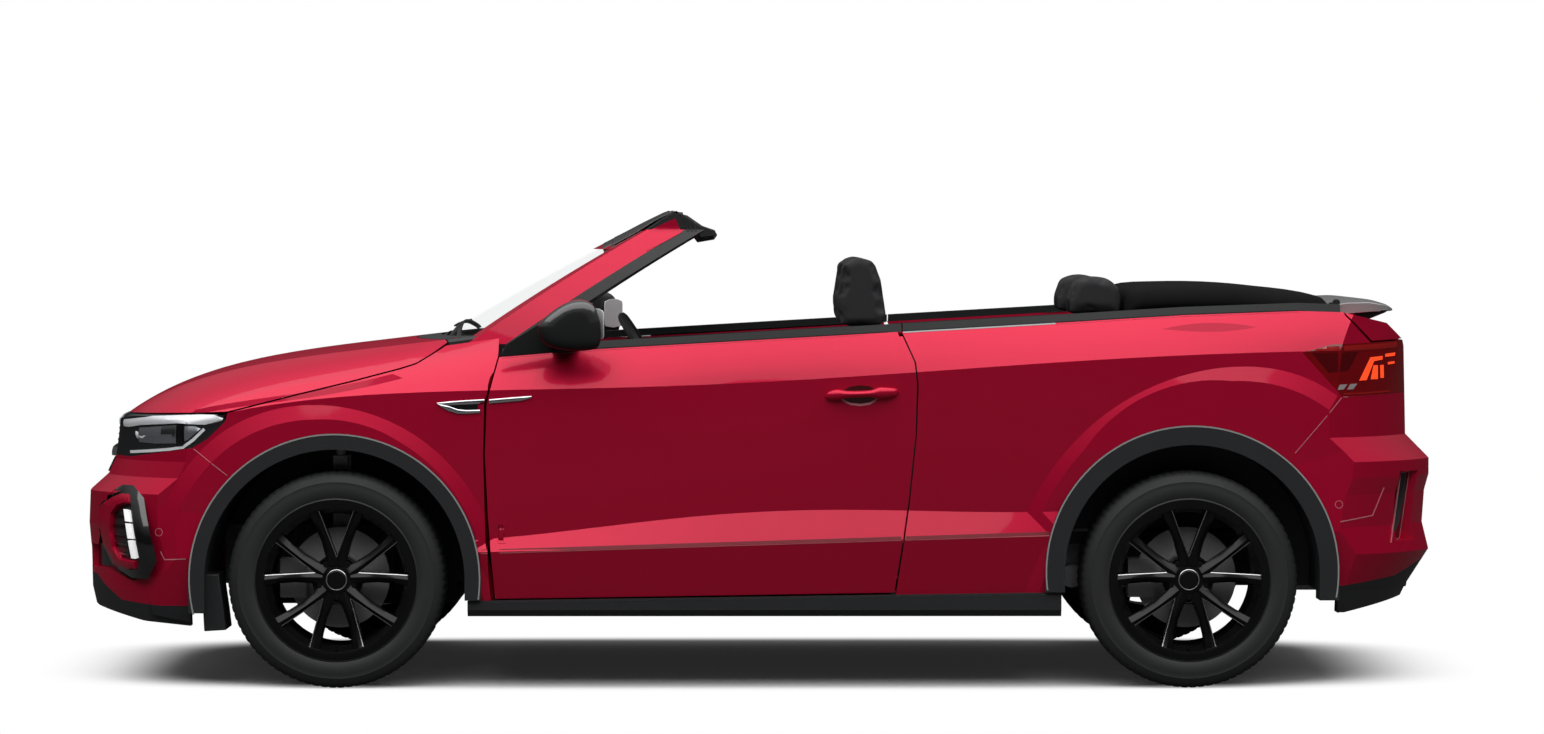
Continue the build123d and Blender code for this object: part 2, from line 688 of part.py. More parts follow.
def hub_carrier(x):
    """Hub carrier, stub axle and brake caliper at the left of an axle."""
    with BuildPart() as made:
        add(tube(60, carrier_y, x, hub_z))
        add(tube(axle_radius, (carrier_y[1] - 10, hub_end_y - 12), x, hub_z))
        for low, high in caliper_y:
            add(block((x - caliper_r[1], x - caliper_r[0]), (-high, -low), (hub_z - 60, hub_z + 60)))
        add(block((x - caliper_r[1], x - disc_radius - rotor_clearance), (-caliper_y[1][1], -caliper_y[0][0]),
                  (hub_z - 60, hub_z + 60)))
        add(tube(disc_radius + rotor_clearance, (rotor_y[0] - rotor_clearance, rotor_y[1] + rotor_clearance), x, hub_z),
            mode=Mode.SUBTRACT)
        add(tube(axle_radius, (carrier_y[1] - 10, hub_end_y - 12), x, hub_z))
        add(block((x - caliper_r[0] - 10, x - 40), (-carrier_y[1], -caliper_y[0][0]), (hub_z - 35, hub_z + 35)))
    return made.part


with BuildPart() as knuckle:
    add(hub_carrier(front_axle_x))
    add(block((front_axle_x - 28, front_axle_x + 28), (-650, -615), (hub_z - 40, 712)))
    add(block((front_axle_x - 22, front_axle_x + 22), (-kingpin_y - 20, -615), (688, 712)))
    add(block((front_axle_x - 22, front_axle_x + 22), (-carrier_y[1], -carrier_y[0]), (arm_z[1] + 0.3, hub_z)))
    with Locations((front_axle_x, -kingpin_y, 725)):
        Cylinder(radius=16, height=28)
save(knuckle.part, "knuckle_left")
with BuildPart() as knuckle_right:
    add(knuckle.part)
    mirror(about=Plane.XZ, mode=Mode.REPLACE)
save(knuckle_right.part, "knuckle_right")

beam_x = 1130
with BuildPart() as rear_axle:
    with BuildPart(mode=Mode.PRIVATE) as rear_side:
        add(hub_carrier(rear_axle_x))
        add(block((980, rear_axle_x), (-carrier_y[0] - 6, -570), (300, 360)))
        add(tube(35, (520, 640), 980, 330))
        add(block((950, 1010), (-560, -530), (330, rear_floor_z[0] - seat_gap)))
        with Locations((1200, -520, (300 + rear_floor_z[0] - seat_gap) / 2)):
            Cylinder(radius=48, height=rear_floor_z[0] - seat_gap - 300)
        add(block((1150, 1250), (-580, -460), (300, 320)))
    add(both_sides(rear_side.part))
    add(block((beam_x - 40, beam_x + 40), (-580, 580), (290, 350)))
save(rear_axle.part, "rear_axle")

# ---- wheels ----
# name, x, side
WHEELS = (
    ("front_left", front_axle_x, -1),
    ("front_right", front_axle_x, 1),
    ("rear_left", rear_axle_x, -1),
    ("rear_right", rear_axle_x, 1),
)
bead_radius = 228.6         # a rim of 18 inches
bead_half = 95
rim_edge_radius = 246
# The tyre and the rim in section, as (radius, distance from the wheel's middle).
TYRE = ((bead_radius, bead_half), (248, bead_half), (262, 104), (284, 107.5), (319, 101), (hub_z, 84))
RIM = (
    (bead_radius - seat_gap, bead_half + seat_gap),
    (rim_edge_radius, bead_half + seat_gap),
    (rim_edge_radius, bead_half + 6),
    (222, bead_half + 6),
    (217, bead_half - 5),
)
spoke_root = (52, 10)       # radius, and degrees off the middle of a pair of spokes
spoke_tip = (221, 18.5)
spoke_width = (34, 24)
spoke_y = (track / 2 + 42, track / 2 + 86)


def around_y(profile):
    """A ring about a wheel's axis at the left of the car, from (radius, distance outward) points."""
    with BuildPart() as made:
        with BuildSketch(Plane.YZ):
            with BuildLine():
                outward = [(-track / 2 - y, r) for r, y in profile]
                inward = [(-track / 2 + y, r) for r, y in reversed(profile)]
                Polyline(*outward, *inward, close=True)
            make_face()
        revolve(axis=Axis.Y)
    return made.part


def polar(radius, degrees):
    return Vector(radius, 0).rotate(Axis.Z, degrees)


tyre = around_y(TYRE)
with BuildPart() as rim:
    add(around_y(RIM))
    with BuildSketch(Plane.XZ.offset(spoke_y[0])):
        for pair in range(5):
            middle = 90 - 72 * pair
            for lean in (-1, 1):
                root = polar(spoke_root[0], middle + lean * spoke_root[1])
                tip = polar(spoke_tip[0], middle + lean * spoke_tip[1])
                sideways = (tip - root).normalized().rotate(Axis.Z, 90)
                with BuildLine():
                    Polyline(
                        root + sideways * (spoke_width[0] / 2), tip + sideways * (spoke_width[1] / 2),
                        tip - sideways * (spoke_width[1] / 2), root - sideways * (spoke_width[0] / 2), close=True,
                    )
                make_face()
        Circle(radius=hub_radius)
    extrude(amount=spoke_y[1] - spoke_y[0])
    add(tube(hub_radius, (hub_face_y, hub_end_y)))
    add(tube(bore_radius, (hub_face_y - 1, hub_end_y - 8)), mode=Mode.SUBTRACT)
with BuildPart() as brake_disc:
    add(tube(disc_radius, rotor_y))
    add(tube(hub_radius, (rotor_y[0], hub_face_y - seat_gap)))
    add(tube(bore_radius, (rotor_y[0] - 1, hub_face_y)), mode=Mode.SUBTRACT)

for name, x, side in WHEELS:
    for kind, shape in (("tyre", tyre), ("rim", rim.part), ("brake_disc", brake_disc.part)):
        with BuildPart() as placed:
            add(shape.moved(Location((x, 0, hub_z))))
            if side > 0:
                mirror(about=Plane.XZ, mode=Mode.REPLACE)
        save(placed.part, f"{kind}_{name}")

# ---- cabin ----
dash_line = ((-740, 640), (-740, 1050), (-690, 1048), (-600, 1020), (-560, 960), (-580, 860), (-640, 720))
dash_half = 685
wheel_centre = (-345, -370, 993)
wheel_tilt = 32             # degrees from upright to the steering wheel's own axis, measured from the X axis
steering_plane = Plane(origin=wheel_centre, x_dir=(0, 1, 0), z_dir=Vector(1, 0, 0).rotate(Axis.Y, -wheel_tilt))
wheel_rim_radius = 170
with BuildPart() as dashboard:
    add(cross_prism(dash_line, dash_half))
    add(block((bulkhead_x[1], -740), (-dash_half, dash_half), (640, 984.7)))
    with Locations(steering_plane.offset(-190.3)):
        Cylinder(radius=32, height=280)
save(dashboard.part, "dashboard")

with BuildPart() as steering_wheel:
    with BuildSketch(Plane(origin=wheel_centre, x_dir=steering_plane.x_dir, z_dir=-steering_plane.y_dir)):
        with Locations((wheel_rim_radius, 0)):
            RegularPolygon(radius=15, side_count=8)
    revolve(axis=Axis(wheel_centre, steering_plane.z_dir))
    with Locations(steering_plane.offset(-25)):
        Cylinder(radius=62, height=50)
    with BuildSketch(steering_plane.offset(-20)):
        for degrees in (0, 180, 270):
            with Locations(polar(105, degrees)):
                Rectangle(140, 34, rotation=degrees)
    extrude(amount=20)
save(steering_wheel.part, "steering_wheel")

seat_y = (145, 605)         # half-widths of a front seat's inner and outer sides
pad_inset = 12
seat_shell_line = ((-260, 260), (-260, 395), (264, 395), (404, 1080), (426, 1080), (330, 560), (310, 380),
                   (240, 380), (240, 260))
cushion_line = ((-300, 430), (-310, 520), (-270, 560), (140, 515), (130, 395.3), (-250, 395.3))
back_line = ((145, 520), (250, 1060), (290, 1094), (380, 1094), (403, 1080), (263.5, 397), (150, 397))
headrest_line = ((251, 1110), (245, 1191), (264, 1312), (311, 1334), (359, 1325), (385, 1255), (402, 1140), (392, 1110))


def seat_prism(points, inset):
    return side_prism(points, seat_y[0] + inset, seat_y[1] - inset)


save(both_sides(seat_prism(seat_shell_line, pad_inset)), "front_seat_shells")

with BuildPart() as front_pads:
    add(seat_prism(cushion_line, 0))
    add(seat_prism(back_line, 0))
    add(side_prism(headrest_line, 245, 505))
    for y in (-300, -450):
        with Locations((325, y, 1102)):
            Cylinder(radius=7, height=16)
save(both_sides(front_pads.part), "front_seat_pads")

rear_back_line = ((960, 620.3), (1015, 1100), (1050, 1126), (1109.7, 1126), (1109.7, 620.3))
rear_headrest_line = ((982, 1145), (982, 1190), (1004, 1254), (1052, 1270), (1116, 1260), (1151, 1228), (1151, 1145))
with BuildPart() as rear_pads:
    add(block((660.3, 1000), (-560, 560), (rear_floor_z[1] + 0.3, 620)))
    add(cross_prism(rear_back_line, 560))
    with BuildPart(mode=Mode.PRIVATE) as rear_headrest:
        add(side_prism(rear_headrest_line, 190, 420))
        for y in (-250, -360):
            with Locations((1080, y, 1135)):
                Cylinder(radius=7, height=22)
    add(both_sides(rear_headrest.part))
save(rear_pads.part, "rear_seat_pads")

rear_arch = ARCHES[1]
shell_x = (1110, 1150)
with BuildPart() as rear_trim:
    add(block((491, 1795), (-trim_half, -640), (rear_floor_z[1], 1085)))
    add(block(shell_x, (-641, 0), (rear_floor_z[1], 1085)))
    add(block((shell_x[0], 1795), (-641, 0), (1045, 1085)))
    lid_post_side = (-lid_post_y[1], -lid_post_y[0])
    add(block((1780, lid_hinge_x), lid_post_side, (1084, lid_hinge_z)))
    add(across(lid_hinge_x, lid_hinge_z, 10, lid_post_side))
    add(across(lid_hinge_x, lid_hinge_z, hinge_pin_radius, (-lid_ear_y[1], -lid_post_y[0])))
    add(
        arch_prism(rear_arch[1], rear_arch[2], rear_arch[4] + housing_wall + seat_gap, rear_arch[-1] - seat_gap, 1200),
        mode=Mode.SUBTRACT,
    )
save(both_sides(rear_trim.part), "rear_trim")

top_line = ((1162, 1085.3), (1158, 1222), (1204, 1244), (1410, 1247), (1602, 1235), (1762, 1215), (1794, 1192),
            (1794, 1168), (1786, 1085.3))
save(cross_prism(top_line, 640), "folded_top")

# ---- black mouldings along the belt line ----
moulding_height = 24
moulding_body = body_form(5)


def moulding(x):
    with BuildPart() as made:
        add(moulding_body)
        with BuildPart(mode=Mode.PRIVATE) as strip:
            add(above_belt)
            add(above_belt.moved(Location((0, 0, moulding_height))), mode=Mode.SUBTRACT)
            add(block(x, (-1200, -cabin_half), (900, 1400)), mode=Mode.INTERSECT)
        add(strip.part, mode=Mode.INTERSECT)
    return made.part


save(both_sides(moulding((443, 1795))), "quarter_mouldings")
# ---- door mirrors ----
# the mirror housing seen from the side, and how large it is at each half-width
mirror_outline = ((-668, 1052), (-672, 1102), (-612, 1180), (-548, 1197), (-498, 1190), (-466, 1110), (-470, 1064),
                  (-560, 1044))
mirror_middle = (-566, 1118)
MIRROR = ((868, 0.72), (900, 0.92), (945, 1), (980, 0.93), (1000, 0.7))
mirror_foot = ((-640, -560), (-890, -790), (1046, 1085))
with BuildPart() as door_mirror:
    for y, size in MIRROR:
        with BuildSketch(Plane.XZ.offset(y)):
            middle = Vector(mirror_middle)
            with BuildLine():
                Polyline(*[middle + (Vector(point) - middle) * size for point in mirror_outline], close=True)
            make_face()
    loft(ruled=True)
    add(block(*mirror_foot))
    add(above_belt, mode=Mode.INTERSECT)
    add(moulding((-795, 438)))
save(door_mirror.part, "mirror_left")
with BuildPart() as mirror_right:
    add(door_mirror.part)
    mirror(about=Plane.XZ, mode=Mode.REPLACE)
save(mirror_right.part, "mirror_right")

# ---- exhaust and fuel tank ----
with BuildPart() as exhaust:
    add(block((1650, 1860), (-420, 420), (270, 429.7)))
    with Locations(Location((1940, tail_pipe_y, tail_pipe_z), (0, 90, 0))):
        Cylinder(radius=tail_pipe_radius, height=190)
    add(block((1780, 1860), (-590, -400), (300, 360)))
    add(block((670, 900), (-480, 480), (240, 429.7)))
save(exhaust.part, "exhaust_and_tank")
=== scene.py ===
import json
import math

import bmesh
import bpy
import numpy as np
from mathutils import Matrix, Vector
from mathutils.bvhtree import BVHTree


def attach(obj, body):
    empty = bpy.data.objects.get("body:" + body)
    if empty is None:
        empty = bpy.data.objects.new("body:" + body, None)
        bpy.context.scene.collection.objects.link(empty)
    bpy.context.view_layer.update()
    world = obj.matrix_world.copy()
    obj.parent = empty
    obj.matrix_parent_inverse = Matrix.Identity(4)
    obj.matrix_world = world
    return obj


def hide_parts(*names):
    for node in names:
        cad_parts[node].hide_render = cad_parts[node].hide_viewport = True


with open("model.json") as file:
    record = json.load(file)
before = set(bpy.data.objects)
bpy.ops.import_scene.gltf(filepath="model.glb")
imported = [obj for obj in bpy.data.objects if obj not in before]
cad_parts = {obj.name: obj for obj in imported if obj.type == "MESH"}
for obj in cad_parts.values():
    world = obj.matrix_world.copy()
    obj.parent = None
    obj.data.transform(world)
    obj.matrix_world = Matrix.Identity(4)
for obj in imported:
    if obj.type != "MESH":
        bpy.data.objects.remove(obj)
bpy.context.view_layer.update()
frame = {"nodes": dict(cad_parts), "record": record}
nodes = frame["nodes"]

# ---- camera, floor and light, in metres ----
PHOTO_WIDTH = 1544           # pixels
FOCAL_LENGTH = 4620          # pixels
VIEW_CENTRE = (15, 138)      # how far right of and below the level view the picture's middle lies, in pixels
SENSOR = 36                  # mm
CAMERA = Vector((-0.007, -15.080, 1.417))
FLOOR_HALF = 60
FLOOR_BOUNCE = 0.08          # how much light the floor gives back to the car
FLOOR_LEVEL = 0.97           # and to the camera
FLOOR_HAZE = 0.018           # what the camera sees of it in full shadow
FLOOR_REACH = (2.36, 0.99)   # half-length and half-width of the rounded field that shows shadows
FADE = (0.78, 1.0)           # shares of that reach over which the floor turns plain white
SKY = ((0.0, 0.015), (0.2, 0.02), (0.35, 0.12), (0.6, 0.35), (1.0, 0.5))    # share of the way up, brightness
SOFTBOX = (0, -4.5, 6.0)
SOFTBOX_SIZE = (14, 11)
SOFTBOX_POWER = 946


def add_node(tree, kind, settings=None, **inputs):
    """A node with plain values set on its sockets; links are (node, output) pairs."""
    node = tree.nodes.new(kind)
    for key, value in (settings or {}).items():
        setattr(node, key, value)
    for key, value in inputs.items():
        socket = node.inputs[int(key[2:]) if key.startswith("i_") else key.replace("_", " ")]
        if isinstance(value, tuple) and len(value) == 2 and hasattr(value[0], "outputs"):
            tree.links.new(value[0].outputs[value[1]], socket)
        else:
            socket.default_value = value
    return node


def new_material(name):
    made = bpy.data.materials.new(name)
    made.use_nodes = True
    made.node_tree.nodes.clear()
    return made, made.node_tree


def add_to_scene(name, data):
    made = bpy.data.objects.new(name, data)
    bpy.context.scene.collection.objects.link(made)
    return made


def make_camera():
    data = bpy.data.cameras.new("camera")
    data.lens = SENSOR * FOCAL_LENGTH / PHOTO_WIDTH
    data.sensor_width = SENSOR
    data.clip_end = 200
    camera = add_to_scene("camera", data)
    camera.location = CAMERA
    look = Vector((VIEW_CENTRE[0] / FOCAL_LENGTH, 1, -VIEW_CENTRE[1] / FOCAL_LENGTH))
    camera.rotation_euler = look.to_track_quat("-Z", "Y").to_euler()
    bpy.context.scene.camera = camera
    bpy.context.scene.view_settings.view_transform = "Standard"


def make_world():
    """A white backdrop for the camera, and a studio that is dark low down for everything else."""
    world = bpy.data.worlds.new("studio")
    bpy.context.scene.world = world
    world.use_nodes = True
    tree = world.node_tree
    tree.nodes.clear()
    coords = add_node(tree, "ShaderNodeTexCoord")
    split = add_node(tree, "ShaderNodeSeparateXYZ", i_0=(coords, "Generated"))
    ramp = add_node(tree, "ShaderNodeValToRGB", i_0=(split, "Z"))
    elements = ramp.color_ramp.elements
    for end, (position, level) in ((0, SKY[0]), (1, SKY[-1])):
        elements[end].position = position
        elements[end].color = (level, level, level, 1)
    for position, level in SKY[1:-1]:
        elements.new(position).color = (level, level, level, 1)
    studio = add_node(tree, "ShaderNodeBackground", Color=(ramp, "Color"), Strength=1.0)
    white = add_node(tree, "ShaderNodeBackground", Color=(1, 1, 1, 1), Strength=1.0)
    path = add_node(tree, "ShaderNodeLightPath")
    mix = add_node(tree, "ShaderNodeMixShader", i_0=(path, "Is Camera Ray"), i_1=(studio, 0), i_2=(white, 0))
    add_node(tree, "ShaderNodeOutputWorld", Surface=(mix, 0))


def make_floor():
    """A floor that is lit like white paper near the car and burns out to plain white further off."""
    mesh = bpy.data.meshes.new("floor")
    half = FLOOR_HALF
    mesh.from_pydata([(-half, -half, 0), (half, -half, 0), (half, half, 0), (-half, half, 0)], [], [(0, 1, 2, 3)])
    made, tree = new_material("floor")
    path = add_node(tree, "ShaderNodeLightPath")
    level = add_node(tree, "ShaderNodeMix", {"data_type": "RGBA"}, Factor=(path, "Is Camera Ray"))
    level.inputs[6].default_value = (FLOOR_BOUNCE, FLOOR_BOUNCE, FLOOR_BOUNCE, 1)
    level.inputs[7].default_value = (FLOOR_LEVEL, FLOOR_LEVEL, FLOOR_LEVEL, 1)
    diffuse = add_node(tree, "ShaderNodeBsdfDiffuse", Color=(level, 2))
    coords = add_node(tree, "ShaderNodeTexCoord")
    reach = (*FLOOR_REACH, 1)
    share = add_node(tree, "ShaderNodeVectorMath", {"operation": "DIVIDE"}, i_0=(coords, "Object"), i_1=reach)
    square = add_node(tree, "ShaderNodeVectorMath", {"operation": "MULTIPLY"}, i_0=(share, 0), i_1=(share, 0))
    fourth = add_node(tree, "ShaderNodeVectorMath", {"operation": "DOT_PRODUCT"}, i_0=(square, 0), i_1=(square, 0))
    reach = add_node(tree, "ShaderNodeMath", {"operation": "POWER"}, i_0=(fourth, "Value"), i_1=0.25)
    fade = add_node(tree, "ShaderNodeMapRange", {"interpolation_type": "SMOOTHSTEP"}, Value=(reach, 0),
                    From_Min=FADE[0], From_Max=FADE[1])
    seen = add_node(tree, "ShaderNodeMath", {"operation": "MULTIPLY"}, i_0=(fade, 0), i_1=(path, "Is Camera Ray"))
    white = add_node(tree, "ShaderNodeEmission", Color=(1, 1, 1, 1), Strength=1.0)
    haze = add_node(tree, "ShaderNodeEmission", Color=(1, 1, 1, 1), Strength=FLOOR_HAZE)
    lifted = add_node(tree, "ShaderNodeAddShader", i_0=(diffuse, 0), i_1=(haze, 0))
    hazy = add_node(tree, "ShaderNodeMixShader", i_0=(path, "Is Camera Ray"), i_1=(diffuse, 0), i_2=(lifted, 0))
    mix = add_node(tree, "ShaderNodeMixShader", i_0=(seen, 0), i_1=(hazy, 0), i_2=(white, 0))
    add_node(tree, "ShaderNodeOutputMaterial", Surface=(mix, 0))
    mesh.materials.append(made)
    add_to_scene("floor", mesh)


def make_softbox():
    data = bpy.data.lights.new("overhead", "AREA")
    data.shape = "RECTANGLE"
    data.size, data.size_y = SOFTBOX_SIZE
    data.energy = SOFTBOX_POWER
    light = add_to_scene("overhead", data)
    light.location = SOFTBOX
    light.rotation_euler = Vector((0, 0, -1)).to_track_quat("-Z", "Y").to_euler()


make_camera()
make_world()
make_floor()
make_softbox()

# ---- materials ----
# colour, roughness, metallic, coat, then how much the colour varies, the bump's strength and how fine its grain is
SURFACES = {
    "paint": ((0.55, 0.004, 0.04), 0.36, 0.4, 0.36, 0.1, 0.03, 2600),
    "black_plastic": ((0.022, 0.023, 0.025), 0.45, 0, 0, 0.15, 0.25, 900),
    "gloss_black": ((0.006, 0.006, 0.007), 0.12, 0, 1.0, 0.1, 0.0, 300),
    "trim": ((0.012, 0.012, 0.013), 0.5, 0, 0, 0.2, 0.3, 700),
    "upholstery": ((0.015, 0.015, 0.017), 0.75, 0, 0, 0.3, 0.5, 1200),
    "soft_top": ((0.0035, 0.0035, 0.004), 0.85, 0, 0, 0.3, 0.5, 1500),
    "tyre": ((0.022, 0.023, 0.024), 0.6, 0, 0, 0.2, 0.3, 500),
    "wheel": ((0.004, 0.004, 0.0045), 0.28, 0, 0.15, 0.1, 0.0, 300),
    "bright_edge": ((0.6, 0.6, 0.6), 0.25, 0.9, 0, 0.05, 0.0, 300),
    "iron": ((0.5, 0.5, 0.51), 0.5, 0.3, 0, 0.2, 0.3, 300),
    "steel": ((0.3, 0.3, 0.31), 0.35, 0.9, 0, 0.2, 0.2, 300),
    "engine": ((0.2, 0.2, 0.21), 0.5, 0.8, 0, 0.3, 0.5, 60),
    "underbody": ((0.02, 0.02, 0.022), 0.6, 0, 0, 0.3, 0.4, 80),
    "lamp_clear": ((0.02, 0.021, 0.023), 0.1, 0, 0.6, 0.1, 0, 60),
    "lamp_red": ((0.2, 0.003, 0.006), 0.1, 0, 0.6, 0.2, 0, 30),
    # painted highlight: a pale pink for the light that seam edges, creases, lips and rims catch
    "glint": ((0.62, 0.22, 0.26), 0.3, 0, 0, 0.05, 0.0, 400),
    "chrome": ((0.75, 0.76, 0.78), 0.12, 1.0, 0, 0.03, 0.0, 300),
    "seat_back": ((0.012, 0.012, 0.014), 0.6, 0, 0, 0.3, 0.4, 900),
    "mirror_cap": ((0.03, 0.03, 0.032), 0.25, 0, 0.8, 0.1, 0.0, 300),
    "mirror_glass": ((0.7, 0.7, 0.71), 0.12, 0.1, 0.3, 0.03, 0.0, 200),
    # painted highlight and painted shade of the low crease: a lighter and a darker red in place of the light and shade
    # it makes
    "crease_light": ((0.62, 0.12, 0.15), 0.6, 0, 0, 0.1, 0.03, 2600),
    "crease_shade": ((0.2, 0.003, 0.015), 0.6, 0, 0, 0.1, 0.03, 2600),
    "band": ((0.2, 0.2, 0.2), 0.15, 0, 0.6, 0.15, 0.0, 700),
    "screen": ((0.004, 0.005, 0.007), 0.08, 0, 1.0, 0.1, 0.0, 100),
    "stitch": ((0.45, 0.45, 0.45), 0.7, 0, 0, 0.2, 0.3, 900),
    "moulding": ((0.012, 0.0125, 0.013), 0.5, 0, 0, 0.15, 0.25, 900),
    # painted reflection: grey for the light above mirrored in the spoiler's gloss black top
    "spoiler_top": ((0.42, 0.41, 0.415), 0.3, 0.4, 0.4, 0.1, 0.0, 300),
    # painted highlight: grey for the light caught along the edges of black trims
    "grey_line": ((0.35, 0.36, 0.36), 0.4, 0, 0, 0.1, 0.1, 600),
    # painted shade: a dark red for the shade inside the handle recesses
    "paint_recess": ((0.09, 0.001, 0.004), 0.3, 0.5, 1.0, 0.12, 0.03, 2600),
    "lamp_bowl": ((0.32, 0.34, 0.37), 0.25, 0.7, 0.5, 0.15, 0.0, 200),
    "lamp_white": ((0.85, 0.87, 0.9), 0.2, 0, 1.0, 0.05, 0.0, 300),
    "lamp_glow": ((0.9, 0.9, 0.9), 0.2, 0, 0, 0.03, 0.0, 300),
    "lamp_grey": ((0.4, 0.35, 0.36), 0.3, 0, 1.0, 0.1, 0.0, 300),
    "tail_glow": ((0.8, 0.06, 0.02), 0.3, 0, 0.2, 0.05, 0.0, 300),
    "tail_edge": ((0.36, 0.012, 0.012), 0.15, 0, 0.6, 0.05, 0.0, 300),
    "tail_dark": ((0.09, 0.002, 0.004), 0.12, 0, 0.6, 0.15, 0.0, 200),
}
# how strongly the duller ones mirror, and the colour and strength of the light that two give off
SPECULAR = {"paint": 0.15, "soft_top": 0.12, "wheel": 0.25, "moulding": 0.2}
GLOWS = {"lamp_glow": ((1, 1, 1, 1), 0.5), "tail_glow": ((1, 0.07, 0.012, 1), 0.9)}
COAT_ROUGHNESS = 0.03
BUMP_HEIGHT = 0.0004
# nodes whose finish is their slot's in another shade
FINISHES = {"quarter_mouldings": "moulding", "front_seat_shells": "seat_back"}
GLASS_TINT = (0.985, 0.99, 0.99)
GLASS_SHINE = 0.015
GLASS_DUST = 0.004


def surface(name, colour, roughness, metallic, coat, speckle, grain, grain_size):
    """A principled material whose colour and roughness vary a little, with a fine bump."""
    made, tree = new_material(name)
    coords = add_node(tree, "ShaderNodeTexCoord")
    noise = add_node(tree, "ShaderNodeTexNoise", Vector=(coords, "Object"), Scale=grain_size, Detail=4.0)
    broad = add_node(tree, "ShaderNodeTexNoise", Vector=(coords, "Object"), Scale=9.0, Detail=3.0)
    tint = add_node(tree, "ShaderNodeMix", {"data_type": "RGBA"}, Factor=(noise, "Fac"))
    tint.inputs[6].default_value = (*[c * (1 - speckle) for c in colour], 1)
    tint.inputs[7].default_value = (*[min(1, c * (1 + speckle)) for c in colour], 1)
    rough = add_node(tree, "ShaderNodeMapRange", Value=(broad, "Fac"), To_Min=roughness * 0.9, To_Max=roughness * 1.1)
    bump = add_node(tree, "ShaderNodeBump", Height=(noise, "Fac"), Strength=grain, Distance=BUMP_HEIGHT)
    shader = add_node(
        tree, "ShaderNodeBsdfPrincipled", Base_Color=(tint, 2), Roughness=(rough, 0), Metallic=metallic,
        Normal=(bump, 0), Coat_Weight=coat, Coat_Roughness=COAT_ROUGHNESS,
    )
    if name in SPECULAR:
        shader.inputs["Specular IOR Level"].default_value = SPECULAR[name]
    if name in GLOWS:
        shader.inputs["Emission Color"].default_value, shader.inputs["Emission Strength"].default_value = GLOWS[name]
    add_node(tree, "ShaderNodeOutputMaterial", Surface=(shader, 0))
    return made


def clear_glass():
    """Thin glass that keeps what is behind it in place, with a faint reflection and a little dust."""
    made, tree = new_material("glass")
    coords = add_node(tree, "ShaderNodeTexCoord")
    noise = add_node(tree, "ShaderNodeTexNoise", Vector=(coords, "Object"), Scale=30.0, Detail=5.0)
    haze = add_node(tree, "ShaderNodeMapRange", Value=(noise, "Fac"), To_Min=GLASS_DUST * 0.5, To_Max=GLASS_DUST * 1.5)
    through = add_node(tree, "ShaderNodeBsdfTransparent", Color=(*GLASS_TINT, 1))
    mirror = add_node(tree, "ShaderNodeBsdfGlossy", Color=(0.9, 0.9, 0.9, 1), Roughness=0.03)
    film = add_node(tree, "ShaderNodeBsdfDiffuse", Color=(0.6, 0.6, 0.6, 1))
    shiny = add_node(tree, "ShaderNodeMixShader", i_0=GLASS_SHINE, i_1=(through, 0), i_2=(mirror, 0))
    dusty = add_node(tree, "ShaderNodeMixShader", i_0=(haze, 0), i_1=(shiny, 0), i_2=(film, 0))
    add_node(tree, "ShaderNodeOutputMaterial", Surface=(dusty, 0))
    return made


MATERIALS = {name: surface(name, *values) for name, values in SURFACES.items()}
MATERIALS["glass"] = clear_glass()
for row in frame["record"]["subparts"]:
    mesh = nodes[row["node"]].data
    mesh.materials.clear()
    mesh.materials.append(MATERIALS[FINISHES.get(row["node"], row["material_slot"])])

# ---- pieces in mesh code; every size from here on is in millimetres ----
MM = 0.001
SIDES = (("left", -1), ("right", 1))
BEVEL_SEGMENTS = 3
BEVEL_ANGLE = 35


def mesh_piece(name, verts, faces, slot, body, finish=None, replaces=(), angle=35, bevel=0, levels=0, inks=None):
    """A piece from corners, finished in its slot's material unless a finish is given, and attached to the body that it
    moves with.

    finish is a material's name, or a tuple of names of which inks holds each face's place.
    """
    mesh = bpy.data.meshes.new(name)
    mesh.from_pydata([Vector(v) * MM for v in verts], [], faces)
    mesh.validate()
    work = bmesh.new()
    work.from_mesh(mesh)
    bmesh.ops.recalc_face_normals(work, faces=work.faces)
    work.to_mesh(mesh)
    work.free()
    piece = add_to_scene(name, mesh)
    for made in finish if isinstance(finish, tuple) else (finish or slot,):
        mesh.materials.append(MATERIALS[made])
    if replaces:
        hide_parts(*replaces)
    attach(piece, body)
    if inks:
        mesh.polygons.foreach_set("material_index", inks)
    mesh.shade_smooth()
    mesh.set_sharp_from_angle(angle=math.radians(angle))
    if bevel:
        rounded = piece.modifiers.new("rounding", "BEVEL")
        rounded.width = bevel * MM
        rounded.segments = BEVEL_SEGMENTS
        rounded.limit_method = "ANGLE"
        rounded.angle_limit = math.radians(BEVEL_ANGLE)
    if levels:
        smoothing = piece.modifiers.new("smoothing", "SUBSURF")
        smoothing.levels = smoothing.render_levels = levels
    return piece


def grid_faces(rows, columns, wrap_rows=False, wrap_columns=False):
    """The faces of a grid of corners that are numbered row by row."""
    made = []
    for r in range(rows if wrap_rows else rows - 1):
        for c in range(columns if wrap_columns else columns - 1):
            r2 = (r + 1) % rows
            c2 = (c + 1) % columns
            made.append((r * columns + c, r * columns + c2, r2 * columns + c2, r2 * columns + c))
    return made


def bar_faces(rows, columns):
    """The faces of closed rings set one after the other, with both ends capped."""
    ends = [tuple(range(columns)), tuple(range((rows - 1) * columns, rows * columns))]
    return grid_faces(rows, columns, wrap_columns=True) + ends


